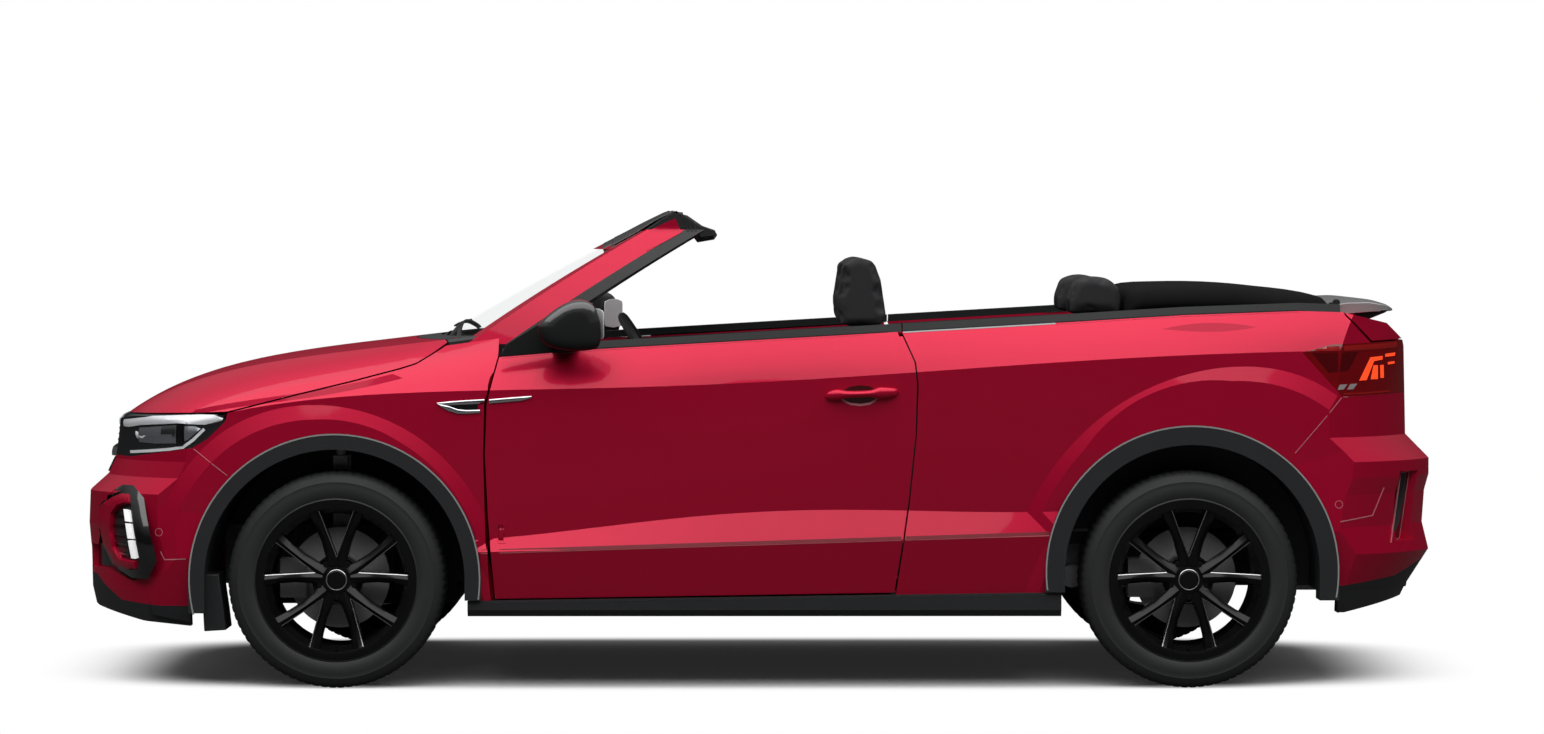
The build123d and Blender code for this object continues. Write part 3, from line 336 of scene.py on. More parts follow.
def turned(profile, steps, x, y, squash=1):
    """Corners of a shape turned about an upright line at x and y, from radii and heights."""
    angles = [2 * math.pi * step / steps for step in range(steps)]
    return [(x + radius * math.cos(a), y + radius * math.sin(a) * squash, z) for radius, z in profile for a in angles]


def plate(name, outline, side, near, far, slot, body, **more):
    """An upright plate between two distances from the centre line, from its outline in x and z."""
    verts = [(x, side * y, z) for y in (near, far) for x, z in outline]
    return mesh_piece(name, verts, bar_faces(2, len(outline)), slot, body, **more)


# where the lines that look for a skin start: beside the car, inside it, above it and ahead of it
FROM_BESIDE = 1300
FROM_INSIDE = 500
FROM_ABOVE = 1300
FROM_AHEAD = -2600
MISS_REACH = 1.2             # in metres: how far along a line that hits nothing the nearest point is taken


class Skin:
    """The outer surface of some CAD nodes, to set pieces on."""

    def __init__(self, *names):
        corners = []
        faces = []
        for name in names:
            mesh = nodes[name].data
            faces += [tuple(i + len(corners) for i in face.vertices) for face in mesh.polygons]
            corners += [v.co.copy() for v in mesh.vertices]
        self.tree = BVHTree.FromPolygons(corners, faces)

    def hit(self, start, along):
        """The first point of the surface from start along a direction, and its outward normal."""
        place, normal, _, _ = self.tree.ray_cast(Vector(start) * MM, Vector(along))
        if place is None:
            place, normal, _, _ = self.tree.find_nearest(Vector(start) * MM + Vector(along) * MISS_REACH)
        if normal.dot(Vector(along)) > 0:
            normal = -normal
        return place / MM, normal

    def beside(self, side):
        """Places on the outer flank, by x and z."""
        return lambda x, z: self.hit((x, side * FROM_BESIDE, z), (0, -side, 0))

    def inside(self, side):
        """Places on the face that looks into the cabin, by x and z."""
        return lambda x, z: self.hit((x, side * FROM_INSIDE, z), (0, side, 0))

    def from_above(self, side):
        """Places on the faces that look up, by x and distance from the centre line."""
        return lambda x, y: self.hit((x, side * y, FROM_ABOVE), (0, 0, -1))

    def ahead(self):
        """Places on the nose, by y and z."""
        return lambda y, z: self.hit((FROM_AHEAD, y, z), (1, 0, 0))


def slab(name, rows, find, slot, body, finish=None, lift=1.5, sink=3, dome=0, **more):
    """A thin piece that follows a surface. rows are lists of points that find() puts on the surface."""
    depth = len(rows)
    across = len(rows[0])
    top = []
    bottom = []
    for r, row in enumerate(rows):
        swell = dome * math.sin(math.pi * r / max(1, depth - 1))
        for place, normal in [find(*point) for point in row]:
            top.append(place + normal * (lift + swell))
            bottom.append(place - normal * sink)
    faces = grid_faces(depth, across)
    count = len(top)
    under = [tuple(reversed([i + count for i in face])) for face in faces]
    rim = [r * across for r in range(depth)]
    rim += [(depth - 1) * across + c for c in range(1, across)]
    rim += [r * across + across - 1 for r in range(depth - 2, -1, -1)]
    rim += [c for c in range(across - 2, 0, -1)]
    walls = [(a, b, b + count, a + count) for a, b in zip(rim, rim[1:] + rim[:1])]
    return mesh_piece(name, top + bottom, faces + under + walls, slot, body, finish, **more)


def field(left, right, low, high, columns, rows):
    """Rows of points that fill a rectangle."""
    return [[(left + (right - left) * c / columns, low + (high - low) * r / rows) for c in range(columns + 1)]
            for r in range(rows + 1)]


def between(first, second, rows, steps):
    """Rows of points that fill the space between two open lines of equally many points."""
    def walked(line):
        made = []
        for a, b in zip(line, line[1:]):
            made += [Vector(a).lerp(Vector(b), i / steps) for i in range(steps)]
        return made + [Vector(line[-1])]
    first = walked(first)
    second = walked(second)
    return [[a.lerp(b, r / rows) for a, b in zip(first, second)] for r in range(rows + 1)]


def stripe(line, width, steps=6):
    """Rows for a stripe of one width along an open line."""
    points = [Vector(p) for p in line]
    low = []
    high = []
    for i, point in enumerate(points):
        along = (points[min(len(points) - 1, i + 1)] - points[max(0, i - 1)]).normalized()
        aside = Vector((-along.y, along.x)) * (width / 2)
        low.append(tuple(point - aside))
        high.append(tuple(point + aside))
    return between(low, high, 1, steps)


def line_on(name, points, find, slot, body, finish, width, lift=0.8, steps=8):
    return slab(name, stripe(points, width, steps), find, slot, body, finish, lift=lift)

# ---- wheels ----
HUB_Z = 335
TRACK_HALF = 770
WHEELS = (("front_left", -1304, -1), ("front_right", -1304, 1), ("rear_left", 1326, -1), ("rear_right", 1326, 1))
# radius, distance outward from the wheel's middle
TYRE_SIDE = ((229, 92), (236, 96), (246, 99.5), (249, 103), (253, 101), (262, 105), (276, 107), (290, 106.8),
             (300, 105), (303, 105.6), (306, 104.2), (316, 100), (324, 95.5), (330, 90), (333.5, 84))
TREAD_RADIUS = 335
TYRE_GROOVES = (58, 20, -20, -58)
GROOVE_HALF = 4.5
GROOVE_DEPTH = 7
TREAD_PITCHES = 80
PITCH_STEPS = 4
SIPE_DEPTH = ((328, 2.5), (319, 1.2))    # down to which radius, how deep


def tyre_piece(name, centre, out):
    crown = []
    for middle in TYRE_GROOVES:
        for edge, depth in ((GROOVE_HALF + 1, 0), (GROOVE_HALF - 1, GROOVE_DEPTH), (1 - GROOVE_HALF, GROOVE_DEPTH),
                            (-1 - GROOVE_HALF, 0)):
            crown.append((TREAD_RADIUS - depth, middle + edge))
    profile = [*TYRE_SIDE, *crown, *[(r, -y) for r, y in reversed(TYRE_SIDE)]]
    steps = TREAD_PITCHES * PITCH_STEPS
    verts = []
    for step in range(steps):
        angle = 2 * math.pi * step / steps
        for radius, y in profile:
            if step % PITCH_STEPS == 0:
                radius -= next((depth for above, depth in SIPE_DEPTH if radius > above), 0)
            verts.append((centre[0] + radius * math.cos(angle), centre[1] + out * y,
                          centre[2] + radius * math.sin(angle)))
    faces = grid_faces(steps, len(profile), wrap_rows=True, wrap_columns=True)
    mesh_piece(f"tyre_tread_{name}", verts, faces, "tyre", f"wheel_{name}", replaces=(f"tyre_{name}",), angle=28)


# profiles as radius and distance outward from the wheel's middle
BARREL = ((222, 101), (231, 103), (247, 103.5), (249, 101), (246, 97), (232, 94), (225, 80), (214, 62), (206, 30),
          (206, -88), (226, -96), (246, -97), (246, -101), (222, -99), (202, -88), (202, 30), (209, 66), (219, 86))
HUB = ((0.5, 84), (26, 84), (30, 82), (31, 79), (34, 78), (52, 77), (66, 72), (78, 60), (78, 12), (0.5, 12))
HUB_RING = ((29.5, 84.2), (31, 84.6), (32.5, 83.5), (31, 82))
BOLT = ((0.5, 79), (7, 79), (9, 76), (9.5, 70), (13, 70), (15, 76), (17, 78), (17, 60), (0.5, 60))
BOLT_CIRCLE = 56
VALVE = ((0.5, 95), (3, 95), (3.5, 88), (3.5, 70), (0.5, 70))
VALVE_Z = -214
SPOKE_PAIRS = 5
# radius, half-width, how far outward the ridge and the two edges lie from the wheel's middle
SPOKE = ((44, 21, 83, 76), (80, 17, 87, 76), (125, 14.5, 92, 78), (175, 15, 95, 83), (212, 17, 97, 88),
         (223, 18, 98, 92))
SPOKE_BACK = 40
ROOT_LEAN = 12               # degrees between a spoke and the middle of its pair, at the hub
TIP_LEAN = 18.3              # and at the rim


def rim_piece(name, centre, out):
    verts = []
    faces = []
    inks = []

    def place(x, y, z):
        verts.append((centre[0] + x, centre[1] + out * y, centre[2] + z))

    def ring_of(profile, steps, ink=0, middle=(0, 0)):
        base = len(verts)
        for step in range(steps):
            angle = 2 * math.pi * step / steps
            for radius, y in profile:
                place(middle[0] + radius * math.cos(angle), y, middle[1] + radius * math.sin(angle))
        made = grid_faces(steps, len(profile), wrap_rows=True, wrap_columns=True)
        faces.extend(tuple(i + base for i in face) for face in made)
        inks.extend([ink] * len(made))

    ring_of(BARREL, 120)
    ring_of(HUB, 60)
    ring_of(HUB_RING, 60, 1)
    for pair in range(SPOKE_PAIRS):
        middle = math.radians(90 - 360 / SPOKE_PAIRS * pair)
        for lean in (-1, 1):
            base = len(verts)
            for radius, half, ridge, edge in SPOKE:
                share = (radius - SPOKE[0][0]) / (SPOKE[-1][0] - SPOKE[0][0])
                angle = middle + math.radians(lean * (ROOT_LEAN + (TIP_LEAN - ROOT_LEAN) * share))
                outward = Vector((math.cos(angle), math.sin(angle)))
                aside = Vector((-outward.y, outward.x)) * lean
                section = ((-half, SPOKE_BACK), (-half, edge - 3), (-half + 1, edge), (-half + 3, edge + 0.8),
                           (-half * 0.15, ridge), (half - 2, edge + 1), (half, edge - 2), (half, SPOKE_BACK))
                for across, y in section:
                    spot = outward * radius + aside * across
                    place(spot.x, y, spot.y)
            made = grid_faces(len(SPOKE), len(section), wrap_columns=True)
            faces.extend(tuple(i + base for i in face) for face in made)
            inks.extend([1 if face % len(section) == 2 else 0 for face in range(len(made))])
        bolt = middle + math.radians(180 / SPOKE_PAIRS)
        ring_of(BOLT, 18, middle=(BOLT_CIRCLE * math.cos(bolt), BOLT_CIRCLE * math.sin(bolt)))
    ring_of(VALVE, 10, middle=(0, VALVE_Z))
    mesh_piece(f"wheel_rim_{name}", verts, faces, "wheel", f"wheel_{name}", ("wheel", "bright_edge"),
               replaces=(f"rim_{name}",), angle=25, inks=inks)


for name, x, side in WHEELS:
    for make in (tyre_piece, rim_piece):
        make(name, (x, side * TRACK_HALF, HUB_Z), side)

# ---- lines along the body ----
WINGS = Skin("front_wings", "front_bumper")
QUARTERS = Skin("rear_quarters", "rear_bumper")
QUARTER_PANELS = Skin("rear_quarters")
DOORS = {"left": Skin("door_left"), "right": Skin("door_right")}
BUMPER = Skin("front_bumper", "grilles")
SILLS = Skin("sill_trims")
BELT = ((-807, 1021), (-486, 1047), (438, 1100), (981, 1131), (1309, 1151), (1670, 1164))
BELT_DOOR = ((-797, 1019.8), (-486, 1045), (434, 1097.8))
BELT_QUARTER = ((444, 1098.3), (981, 1129), (1309, 1149), (1670, 1162))
# name, line in x and z, what it lies on, slot, finish, width; each line is a painted highlight, grey along the belt and
# sill edges and pale pink along seams and creases
LINES = (
    ("belt_line_quarter", BELT_QUARTER, QUARTERS, "black_plastic", "grey_line", 4),
    ("sill_edge_highlight", ((-896, 270), (928, 296)), SILLS, "black_plastic", "grey_line", 5),
    ("wing_seam_highlight", ((-1740, 741), (-1620, 648)), WINGS, "paint", "glint", 2),
    ("bumper_seam_highlight", ((1793, 897), (1648, 728)), QUARTERS, "paint", "glint", 2),
    ("lamp_seam_highlight", ((1800, 900), (1960, 907)), QUARTERS, "paint", "glint", 2),
    ("bumper_crease", ((-1843, 425), (-1830, 400), (-1763, 403)), BUMPER, "paint", "glint", 3),
    ("rear_crease_highlight", ((1787, 517), (1894, 533), (1932, 618)), QUARTERS, "paint", "glint", 3),
)
# middle in x and z, radius of the trim's inner edge's outside, first and last angle
ARCHES = (("front", -1306, 340, 449, 194, -8), ("rear", 1332, 362, 452, 187, -10))
ARCH_STEPS = 72
ARCH_TRIM_HALF = 905
# low crease, a painted highlight line with a painted shade strip above it: distance above, width, lift, finish
CREASE = ((-857, 419), (893, 474))
CREASE_LINES = (("low_crease", 0, 2.5, 0.8, "crease_light"), ("low_shade", 7, 10, 0.5, "crease_shade"))
HINGE_COVER = (((-803, 450), (-780, 450)), ((-803, 512), (-780, 512)))


def on_crease(x, rise):
    (x0, z0), (x1, z1) = CREASE
    return x, z0 + (z1 - z0) * (x - x0) / (x1 - x0) + rise


for name, side in SIDES:
    door = f"door_{name}"
    on_door = DOORS[name].beside(side)
    # a painted highlight along the door's belt edge
    line_on(f"belt_line_{door}", BELT_DOOR, on_door, "black_plastic", door, "grey_line", 4)
    for part, points, skin, slot, finish, width in LINES:
        line_on(f"{part}_{name}", points, skin.beside(side), slot, "chassis", finish, width)
    # a painted highlight along the outer edge of each arch trim
    for arch, x, z, radius, start, end in ARCHES:
        verts = []
        for step in range(ARCH_STEPS + 1):
            angle = math.radians(start + (end - start) * step / ARCH_STEPS)
            for out, r in ((-4, radius - 5), (0.8, radius - 5), (0.8, radius - 0.5), (-4, radius - 0.5)):
                verts.append((x + r * math.cos(angle), side * (ARCH_TRIM_HALF + out), z + r * math.sin(angle)))
        faces = bar_faces(ARCH_STEPS + 1, 4)
        mesh_piece(f"arch_edge_highlight_{arch}_{name}", verts, faces, "black_plastic", "chassis", "grey_line")
    stretches = ((door, on_door, -799, 437), ("chassis", QUARTERS.beside(side), 450, 893),
                 ("chassis", WINGS.beside(side), -857, -812))
    for row, (body, find, first, last) in enumerate(stretches):
        for part, rise, width, lift, finish in CREASE_LINES:
            points = (on_crease(first, rise), on_crease(last, rise))
            line_on(f"{part}_{row}_{name}", points, find, "paint", body, finish, width, lift, steps=24)
    slab(f"hinge_cover_{name}", between(*HINGE_COVER, 12, 6), Skin(door, "floor_pan").beside(side), "paint", door,
         lift=1.5, sink=0.5)

# ---- chrome strip on the wing, running on into the door ----
# upper and lower line of each part, as (x, z)
STRIP_TOP = (((-991, 883), (-950, 887.5), (-900, 891), (-845, 894)),
             ((-988, 879), (-952, 876), (-902, 878), (-845, 881)))
STRIP_FOOT = (((-990, 881), (-955, 873), (-927, 863), (-900, 860.5), (-845, 862)),
              ((-985, 875), (-954, 858), (-926, 850), (-900, 849.5), (-845, 853.5)))
STRIP_INSERT = (((-960, 877), (-930, 877), (-845, 882)), ((-955, 872), (-928, 862), (-845, 861)))
STRIP_DOOR = (((-830, 893.5), (-760, 899.5), (-700, 904)), ((-830, 881), (-731, 889.6), (-702, 898)))
for name, side in SIDES:
    find = WINGS.beside(side)
    for part, lines in (("top", STRIP_TOP), ("foot", STRIP_FOOT)):
        rows = between(*lines, 3, 4)
        slab(f"wing_strip_{part}_{name}", rows, find, "gloss_black", "chassis", "chrome", lift=4, dome=2)
    slab(f"wing_strip_insert_{name}", between(*STRIP_INSERT, 3, 4), find, "gloss_black", "chassis", lift=2)
    slab(f"wing_strip_door_{name}", between(*STRIP_DOOR, 3, 5), DOORS[name].beside(side), "gloss_black", f"door_{name}",
         "chrome", lift=4, dome=2)

# ---- door handles ----
# x, lower and upper z of the grip, how far it stands out
HANDLE = ((203, 898, 902, 5), (207, 893, 915, 14), (222, 890, 924, 22), (246, 889, 927, 26), (262, 896, 921, 29),
          (300, 898, 921, 31), (348, 900, 922.5, 30), (362, 894, 932, 28), (372, 893, 934, 26), (400, 897, 932, 22),
          (421, 901, 929, 15), (428, 912, 922, 5))
# shares of the grip's height and of how far it stands out, around its section
GRIP_SECTION = ((0, 0.25), (0.12, 0.75), (0.5, 1), (0.88, 0.8), (1, 0.3), (0.8, 0.05), (0.2, 0.05))
BOWL = ((244, 902), (256, 888), (280, 876), (310, 872.5), (340, 877), (358, 888), (372, 904))
BOWL_TOP = ((244, 904), (256, 920), (280, 933), (310, 937), (340, 934), (358, 922), (372, 906))
BOWL_LIP = 7
for name, side in SIDES:
    door = f"door_{name}"
    find = DOORS[name].beside(side)
    # the bowl is painted dark red for the shade in the recess, and its lip is a painted highlight
    slab(f"handle_bowl_{name}", between(BOWL, BOWL_TOP, 6, 3), find, "paint", door, "paint_recess", lift=0.6)
    lip = [(x, z + BOWL_LIP) for x, z in BOWL]
    slab(f"handle_lip_{name}", between(BOWL, lip, 2, 3), find, "paint", door, "glint", lift=1.4)
    verts = []
    for x, low, high, out in HANDLE:
        y = find(x, (low + high) / 2)[0].y
        verts += [(x, y + side * out * away, low + (high - low) * up) for up, away in GRIP_SECTION]
    mesh_piece(f"handle_{name}", verts, bar_faces(len(HANDLE), len(GRIP_SECTION)), "paint", door, levels=2, angle=60)

# ---- headlamps ----
LAMP_TOP = (((-1985, 822), (-1966, 825), (-1876, 838), (-1728, 845), (-1676, 845), (-1648, 835)),
            ((-1985, 801), (-1966, 800), (-1918, 809), (-1790, 819), (-1705, 815), (-1652, 828)))
LAMP_LIGHT = ((-1958, 724), (-1885, 731), (-1818, 738), (-1773, 745.5), (-1742, 768), (-1707, 802))
LAMP_FOOT = ((-1965, 706), (-1880, 717), (-1770, 733), (-1712, 765), (-1652, 820))
# name, upper line, lower line, material
LAMP_BANDS = (
    ("bowl", ((-1925, 800), (-1868, 806), (-1796, 812)), ((-1925, 756), (-1868, 754), (-1796, 757)), "lamp_bowl"),
    ("side_bowl", ((-1768, 811), (-1735, 810), (-1718, 803)), ((-1768, 764), (-1756, 770), (-1738, 785)), "lamp_bowl"),
    ("projector", ((-1846, 808), (-1820, 811), (-1797, 813)), ((-1846, 762), (-1820, 758), (-1797, 758)), "chrome"),
    ("reflector", ((-1938, 790), (-1915, 782), (-1892, 790)), ((-1934, 768), (-1914, 762), (-1897, 768)), "lamp_white"),
)
LAMP_BARREL = (((-1794, 815), (-1783, 818), (-1772, 815)), ((-1794, 752), (-1783, 750), (-1772, 752)))
for name, side in SIDES:
    find = Skin("headlamps").beside(side)
    slab(f"lamp_top_{name}", between(*LAMP_TOP, 4, 5), find, "lamp_clear", "chassis", "lamp_white", dome=2)
    line_on(f"lamp_light_{name}", LAMP_LIGHT, find, "lamp_clear", "chassis", "lamp_white", 9)
    line_on(f"lamp_foot_{name}", LAMP_FOOT, find, "lamp_clear", "chassis", "chrome", 3)
    for part, upper, lower, finish in LAMP_BANDS:
        rows = between(upper, lower, 6, 5)
        slab(f"lamp_{part}_{name}", rows, find, "lamp_clear", "chassis", finish, lift=0.8, dome=3)
    slab(f"lamp_barrel_{name}", between(*LAMP_BARREL, 8, 4), find, "gloss_black", "chassis", lift=3, dome=2)

# ---- corner intakes ----
# places on the bumper around each intake, then its frame, painted ring and lights, as (x, z) seen from the side
INTAKE_AROUND = ((-1972, 642), (-1925, 640), (-1872, 590), (-1836, 400), (-1866, 326), (-1940, 324), (-2014, 352),
                 (-2062, 430), (-2070, 500), (-2062, 590), (-2030, 640), (-1850, 500))
INTAKE_FRAME = (((-1995, 612), (-1972, 624), (-1934, 624), (-1897, 587), (-1853, 399), (-1881, 341), (-1938, 341),
                 (-2010, 374), (-2048, 436), (-2058, 482), (-2053, 560), (-1995, 612)),
                ((-1996, 588), (-1968, 598), (-1946, 594), (-1934, 560), (-1905, 410), (-1912, 372), (-1938, 366),
                 (-2000, 384), (-2038, 438), (-2050, 484), (-2046, 556), (-1996, 588)))
INTAKE_RING = (((-1944, 596), (-1970, 596), (-2002, 584), (-2046, 557), (-2051, 482), (-2038, 434), (-1998, 382),
                (-1955, 370), (-1915, 373)),
               ((-1941, 572), (-1962, 570), (-1985, 561), (-2008, 533), (-2012, 482), (-2003, 431), (-1975, 398),
                (-1950, 394), (-1921, 394)))
INTAKE_BACK = (((-2000, 560), (-2022, 520), (-2022, 440), (-1990, 396)),
               ((-1948, 584), (-1920, 560), (-1898, 410), (-1912, 380)))
DAY_LIGHTS = (
    (((-1964, 552), (-1948, 552)), ((-1956, 516), (-1941, 516))),
    (((-1955, 510), (-1940, 510)), ((-1946, 464), (-1930, 464))),
    (((-1945, 458), (-1929, 458)), ((-1934, 403), (-1918, 403))),
)
MESH_BARS = 5
MESH_FOOT = 412
MESH_PITCH = 30
SHEET_MIDDLE = (-1950, 480)
SHEET_SCALE = 100
NEAR_ENOUGH = 60             # a real surface further out than this isn't the bumper


def smooth_sheet(skin, side, around):
    """Places on an even sheet laid through places on a skin, or on the skin itself where that stands further out."""
    def terms(x, z):
        x, z = (x - SHEET_MIDDLE[0]) / SHEET_SCALE, (z - SHEET_MIDDLE[1]) / SHEET_SCALE
        return [1, x, z, x * x, x * z, z * z, x * x * x]
    real = skin.beside(side)
    wanted = [real(x, z)[0].y for x, z in around]
    shares = np.linalg.lstsq(np.array([terms(x, z) for x, z in around]), np.array(wanted), rcond=None)[0]

    def place(x, z):
        return Vector((x, float(np.dot(shares, terms(x, z))), z))

    def find(x, z):
        here = place(x, z)
        normal = (place(x + 1, z) - here).cross(place(x, z + 1) - here).normalized()
        if normal.y * side < 0:
            normal = -normal
        y = real(x, z)[0].y
        if y * side > here.y * side and abs(y - here.y) < NEAR_ENOUGH:
            here.y = y
        return here, normal
    return find


for name, side in SIDES:
    find = smooth_sheet(Skin("front_bumper"), side, INTAKE_AROUND)
    slab(f"intake_frame_{name}", between(*INTAKE_FRAME, 3, 4), find, "gloss_black", "chassis", lift=2, sink=24)
    slab(f"intake_ring_{name}", between(*INTAKE_RING, 3, 4), find, "paint", "chassis", lift=7, sink=18, dome=2)
    for row, lines in enumerate(DAY_LIGHTS):
        rows = between(*lines, 3, 3)
        slab(f"day_light_{row}_{name}", rows, find, "lamp_clear", "chassis", "lamp_glow", lift=1, sink=14)
    slab(f"intake_back_{name}", between(*INTAKE_BACK, 5, 4), find, "black_plastic", "chassis", lift=-11, sink=14)
    for row in range(MESH_BARS):
        z = MESH_FOOT + MESH_PITCH * row
        bar = stripe(((-2012, z), (-1985, z), (-1950, z)), 6, 4)
        slab(f"intake_mesh_{row}_{name}", bar, find, "gloss_black", "chassis", lift=-6, sink=14)

# ---- tail lamps ----
TAIL_TOP = (((1689, 1055), (1715, 1061), (1780, 1063), (1889, 1068), (1990, 1071)),
            ((1684, 1041), (1712, 1041), (1780, 1042), (1889, 1044), (1992, 1048)))
TAIL_DARK = (((1700, 1036), (1780, 1037), (1850, 1038)), ((1752, 975), (1780, 978), (1815, 980)))
# name, upper line, lower line, material
TAIL_GLOWS = (
    ("arm", ((1853, 949), (1892, 1020), (1935, 1023)), ((1878, 950), (1904, 1008), (1935, 1012)), "tail_glow"),
    ("bar_1", ((1903, 995), (1918, 995)), ((1893, 952), (1918, 952)), "tail_glow"),
    ("bar_2", ((1927, 995), (1939, 995)), ((1928, 955), (1940, 955)), "tail_glow"),
    ("end_1", ((1946, 1029), (1984, 1032)), ((1946, 1020), (1982, 1022)), "tail_glow"),
    ("end_2", ((1956, 1003), (1981, 1005)), ((1956, 996), (1981, 998)), "tail_glow"),
    ("clear_1", ((1788, 938), (1812, 939)), ((1780, 922), (1800, 923)), "lamp_grey"),
    ("clear_2", ((1822, 939), (1846, 940)), ((1812, 922), (1832, 923)), "lamp_grey"),
    ("rim", ((1800, 911), (1880, 913), (1968, 916)), ((1800, 906), (1880, 908), (1966, 911)), "tail_edge"),
)
for name, side in SIDES:
    find = Skin("tail_lamps").beside(side)
    slab(f"tail_top_{name}", between(*TAIL_TOP, 3, 4), find, "lamp_red", "chassis", "tail_edge", lift=1, dome=1)
    slab(f"tail_panel_{name}", between(*TAIL_DARK, 3, 4), find, "lamp_red", "chassis", "tail_dark", lift=0.5)
    for part, upper, lower, finish in TAIL_GLOWS:
        slab(f"tail_{part}_{name}", between(upper, lower, 3, 3), find, "lamp_red", "chassis", finish, lift=0.9)

# ---- nose ----
GRILLE_HALF = 512
# half-width, lowest and highest z, lift, finish of each bar across the nose
NOSE_BARS = (
    ("upper", GRILLE_HALF, 802, 828, 4, "lamp_white"),
    ("middle", GRILLE_HALF + 6, 702, 730, 16, "chrome"),
    ("slat_1", GRILLE_HALF - 8, 750, 758, 3, "black_plastic"),
    ("slat_2", GRILLE_HALF - 8, 768, 776, 3, "black_plastic"),
    ("slat_3", GRILLE_HALF - 8, 786, 794, 3, "black_plastic"),
)
NOSE_BAND = (-566, 566, 656, 698)    # left, right, lowest, highest
for part, half, low, high, lift, finish in NOSE_BARS:
    slab(f"nose_bar_{part}", field(-half, half, low, high, 48, 4), BUMPER.ahead(), "gloss_black", "chassis", finish,
         lift=lift, dome=2)
slab("nose_band", field(*NOSE_BAND, 48, 4), BUMPER.ahead(), "gloss_black", "chassis", lift=6)
LOWER_SLATS = 5
LOWER_SLAT_HALF = 505
LOWER_SLAT_FOOT = 372
LOWER_SLAT_PITCH = 36
LOWER_SLAT_HEIGHT = 9
for row in range(LOWER_SLATS):
    z = LOWER_SLAT_FOOT + LOWER_SLAT_PITCH * row
    rows = field(-LOWER_SLAT_HALF, LOWER_SLAT_HALF, z, z + LOWER_SLAT_HEIGHT, 40, 3)
    slab(f"lower_slat_{row}", rows, Skin("grilles").ahead(), "gloss_black", "chassis", "black_plastic", lift=5, dome=2)

SENSOR_RING = (10.6, 12.2)   # inner and outer radius
SENSOR_STEPS = 32
VENT_CORNERS = ((1957, 446), (1993, 455), (2026, 661), (1996, 658))
# the vent's four edges, in shares of its width and height, and how wide each rim is in those shares
VENT_RIM = (((0, 0), (0, 1), 0.06), ((0, 1), (1, 1), 0.012), ((1, 1), (1, 0), 0.06), ((1, 0), (0, 0), 0.012))
DEFLECTOR_Y = (690, 850)
DEFLECTOR = ((-1722, 352), (-1713, 176), (-1645, 180), (-1652, 240), (-1668, 352))


def flat_patch(skin, side, around):
    """Places on the flat patch between four corners on a skin, by shares of its width and height."""
    corners = [skin.beside(side)(x, z) for x, z in around]
    normal = sum((n for _, n in corners), Vector()).normalized()
    places = [place for place, _ in corners]

    def find(across, up):
        return places[0].lerp(places[1], across).lerp(places[3].lerp(places[2], across), up), normal
    return find


for name, side in SIDES:
    for end, skin, (x, z) in (("front", BUMPER, (-1848, 484)), ("rear", QUARTERS, (1783, 570))):
        angles = [2 * math.pi * step / SENSOR_STEPS for step in range(SENSOR_STEPS + 1)]
        ring = [[(x + r * math.cos(a), z + r * math.sin(a)) for a in angles] for r in SENSOR_RING]
        # each sensor's ring is a painted highlight around its edge
        slab(f"sensor_{end}_{name}", ring, skin.beside(side), "paint", "chassis", "glint", lift=0.6, sink=1)
    on_vent = flat_patch(QUARTERS, side, VENT_CORNERS)
    rows = between(((0, 0), (1, 0)), ((0, 1), (1, 1)), 6, 3)
    slab(f"rear_vent_{name}", rows, on_vent, "paint", "chassis", "gloss_black", lift=1, sink=4)
    # the vent's rims are painted highlights along its edges
    for row, (start, end, thin) in enumerate(VENT_RIM):
        rim = stripe((start, end), thin, 6)
        slab(f"rear_vent_rim_{row}_{name}", rim, on_vent, "paint", "chassis", "glint", lift=2.2, sink=4)
    plate(f"air_deflector_{name}", DEFLECTOR, side, *DEFLECTOR_Y, "black_plastic", "chassis", bevel=3)

# ---- rear spoiler ----
# x, half-width, then the z of the blade's top and underside on the centre line, and how far the ends drop
SPOILER = ((1790, 690, 1186, 1160, 6), (1835, 696, 1194, 1160, 7), (1907, 694, 1197.5, 1168, 9),
           (1955, 682, 1192, 1172, 11), (1980, 668, 1185, 1173, 12), (1990, 652, 1180, 1175, 12))
SPOILER_SWEEP = 12           # how far forward the ends of its rear edge lie
SPOILER_DEPTH = 200
SPOILER_STEPS = 30
SPOILER_FIN = ((1830, 1160), (1846, 1149), (1873, 1131), (1900, 1136), (1950, 1156), (1966, 1166), (1940, 1166),
               (1900, 1163))
FIN_Y = (664, 684)
verts = []
shares = [-1 + 2 * step / SPOILER_STEPS for step in range(SPOILER_STEPS + 1)]
for x, half, top, low, drop in SPOILER:
    for z, line in ((top, shares), (low, shares[::-1])):
        verts += [(x - SPOILER_SWEEP * share ** 4 * (x - SPOILER[0][0]) / SPOILER_DEPTH, half * share,
                   z - drop * abs(share) ** 3) for share in line]
# the blade is painted grey for the reflection of the light above in its gloss black top
mesh_piece("spoiler_blade", verts, bar_faces(len(SPOILER), 2 * len(shares)), "gloss_black", "boot_lid", "spoiler_top",
           replaces=("boot_spoiler",), angle=50, bevel=1.5)
for name, side in SIDES:
    plate(f"spoiler_fin_{name}", SPOILER_FIN, side, *FIN_Y, "gloss_black", "boot_lid", replaces=("boot_spoiler",),
          bevel=2)

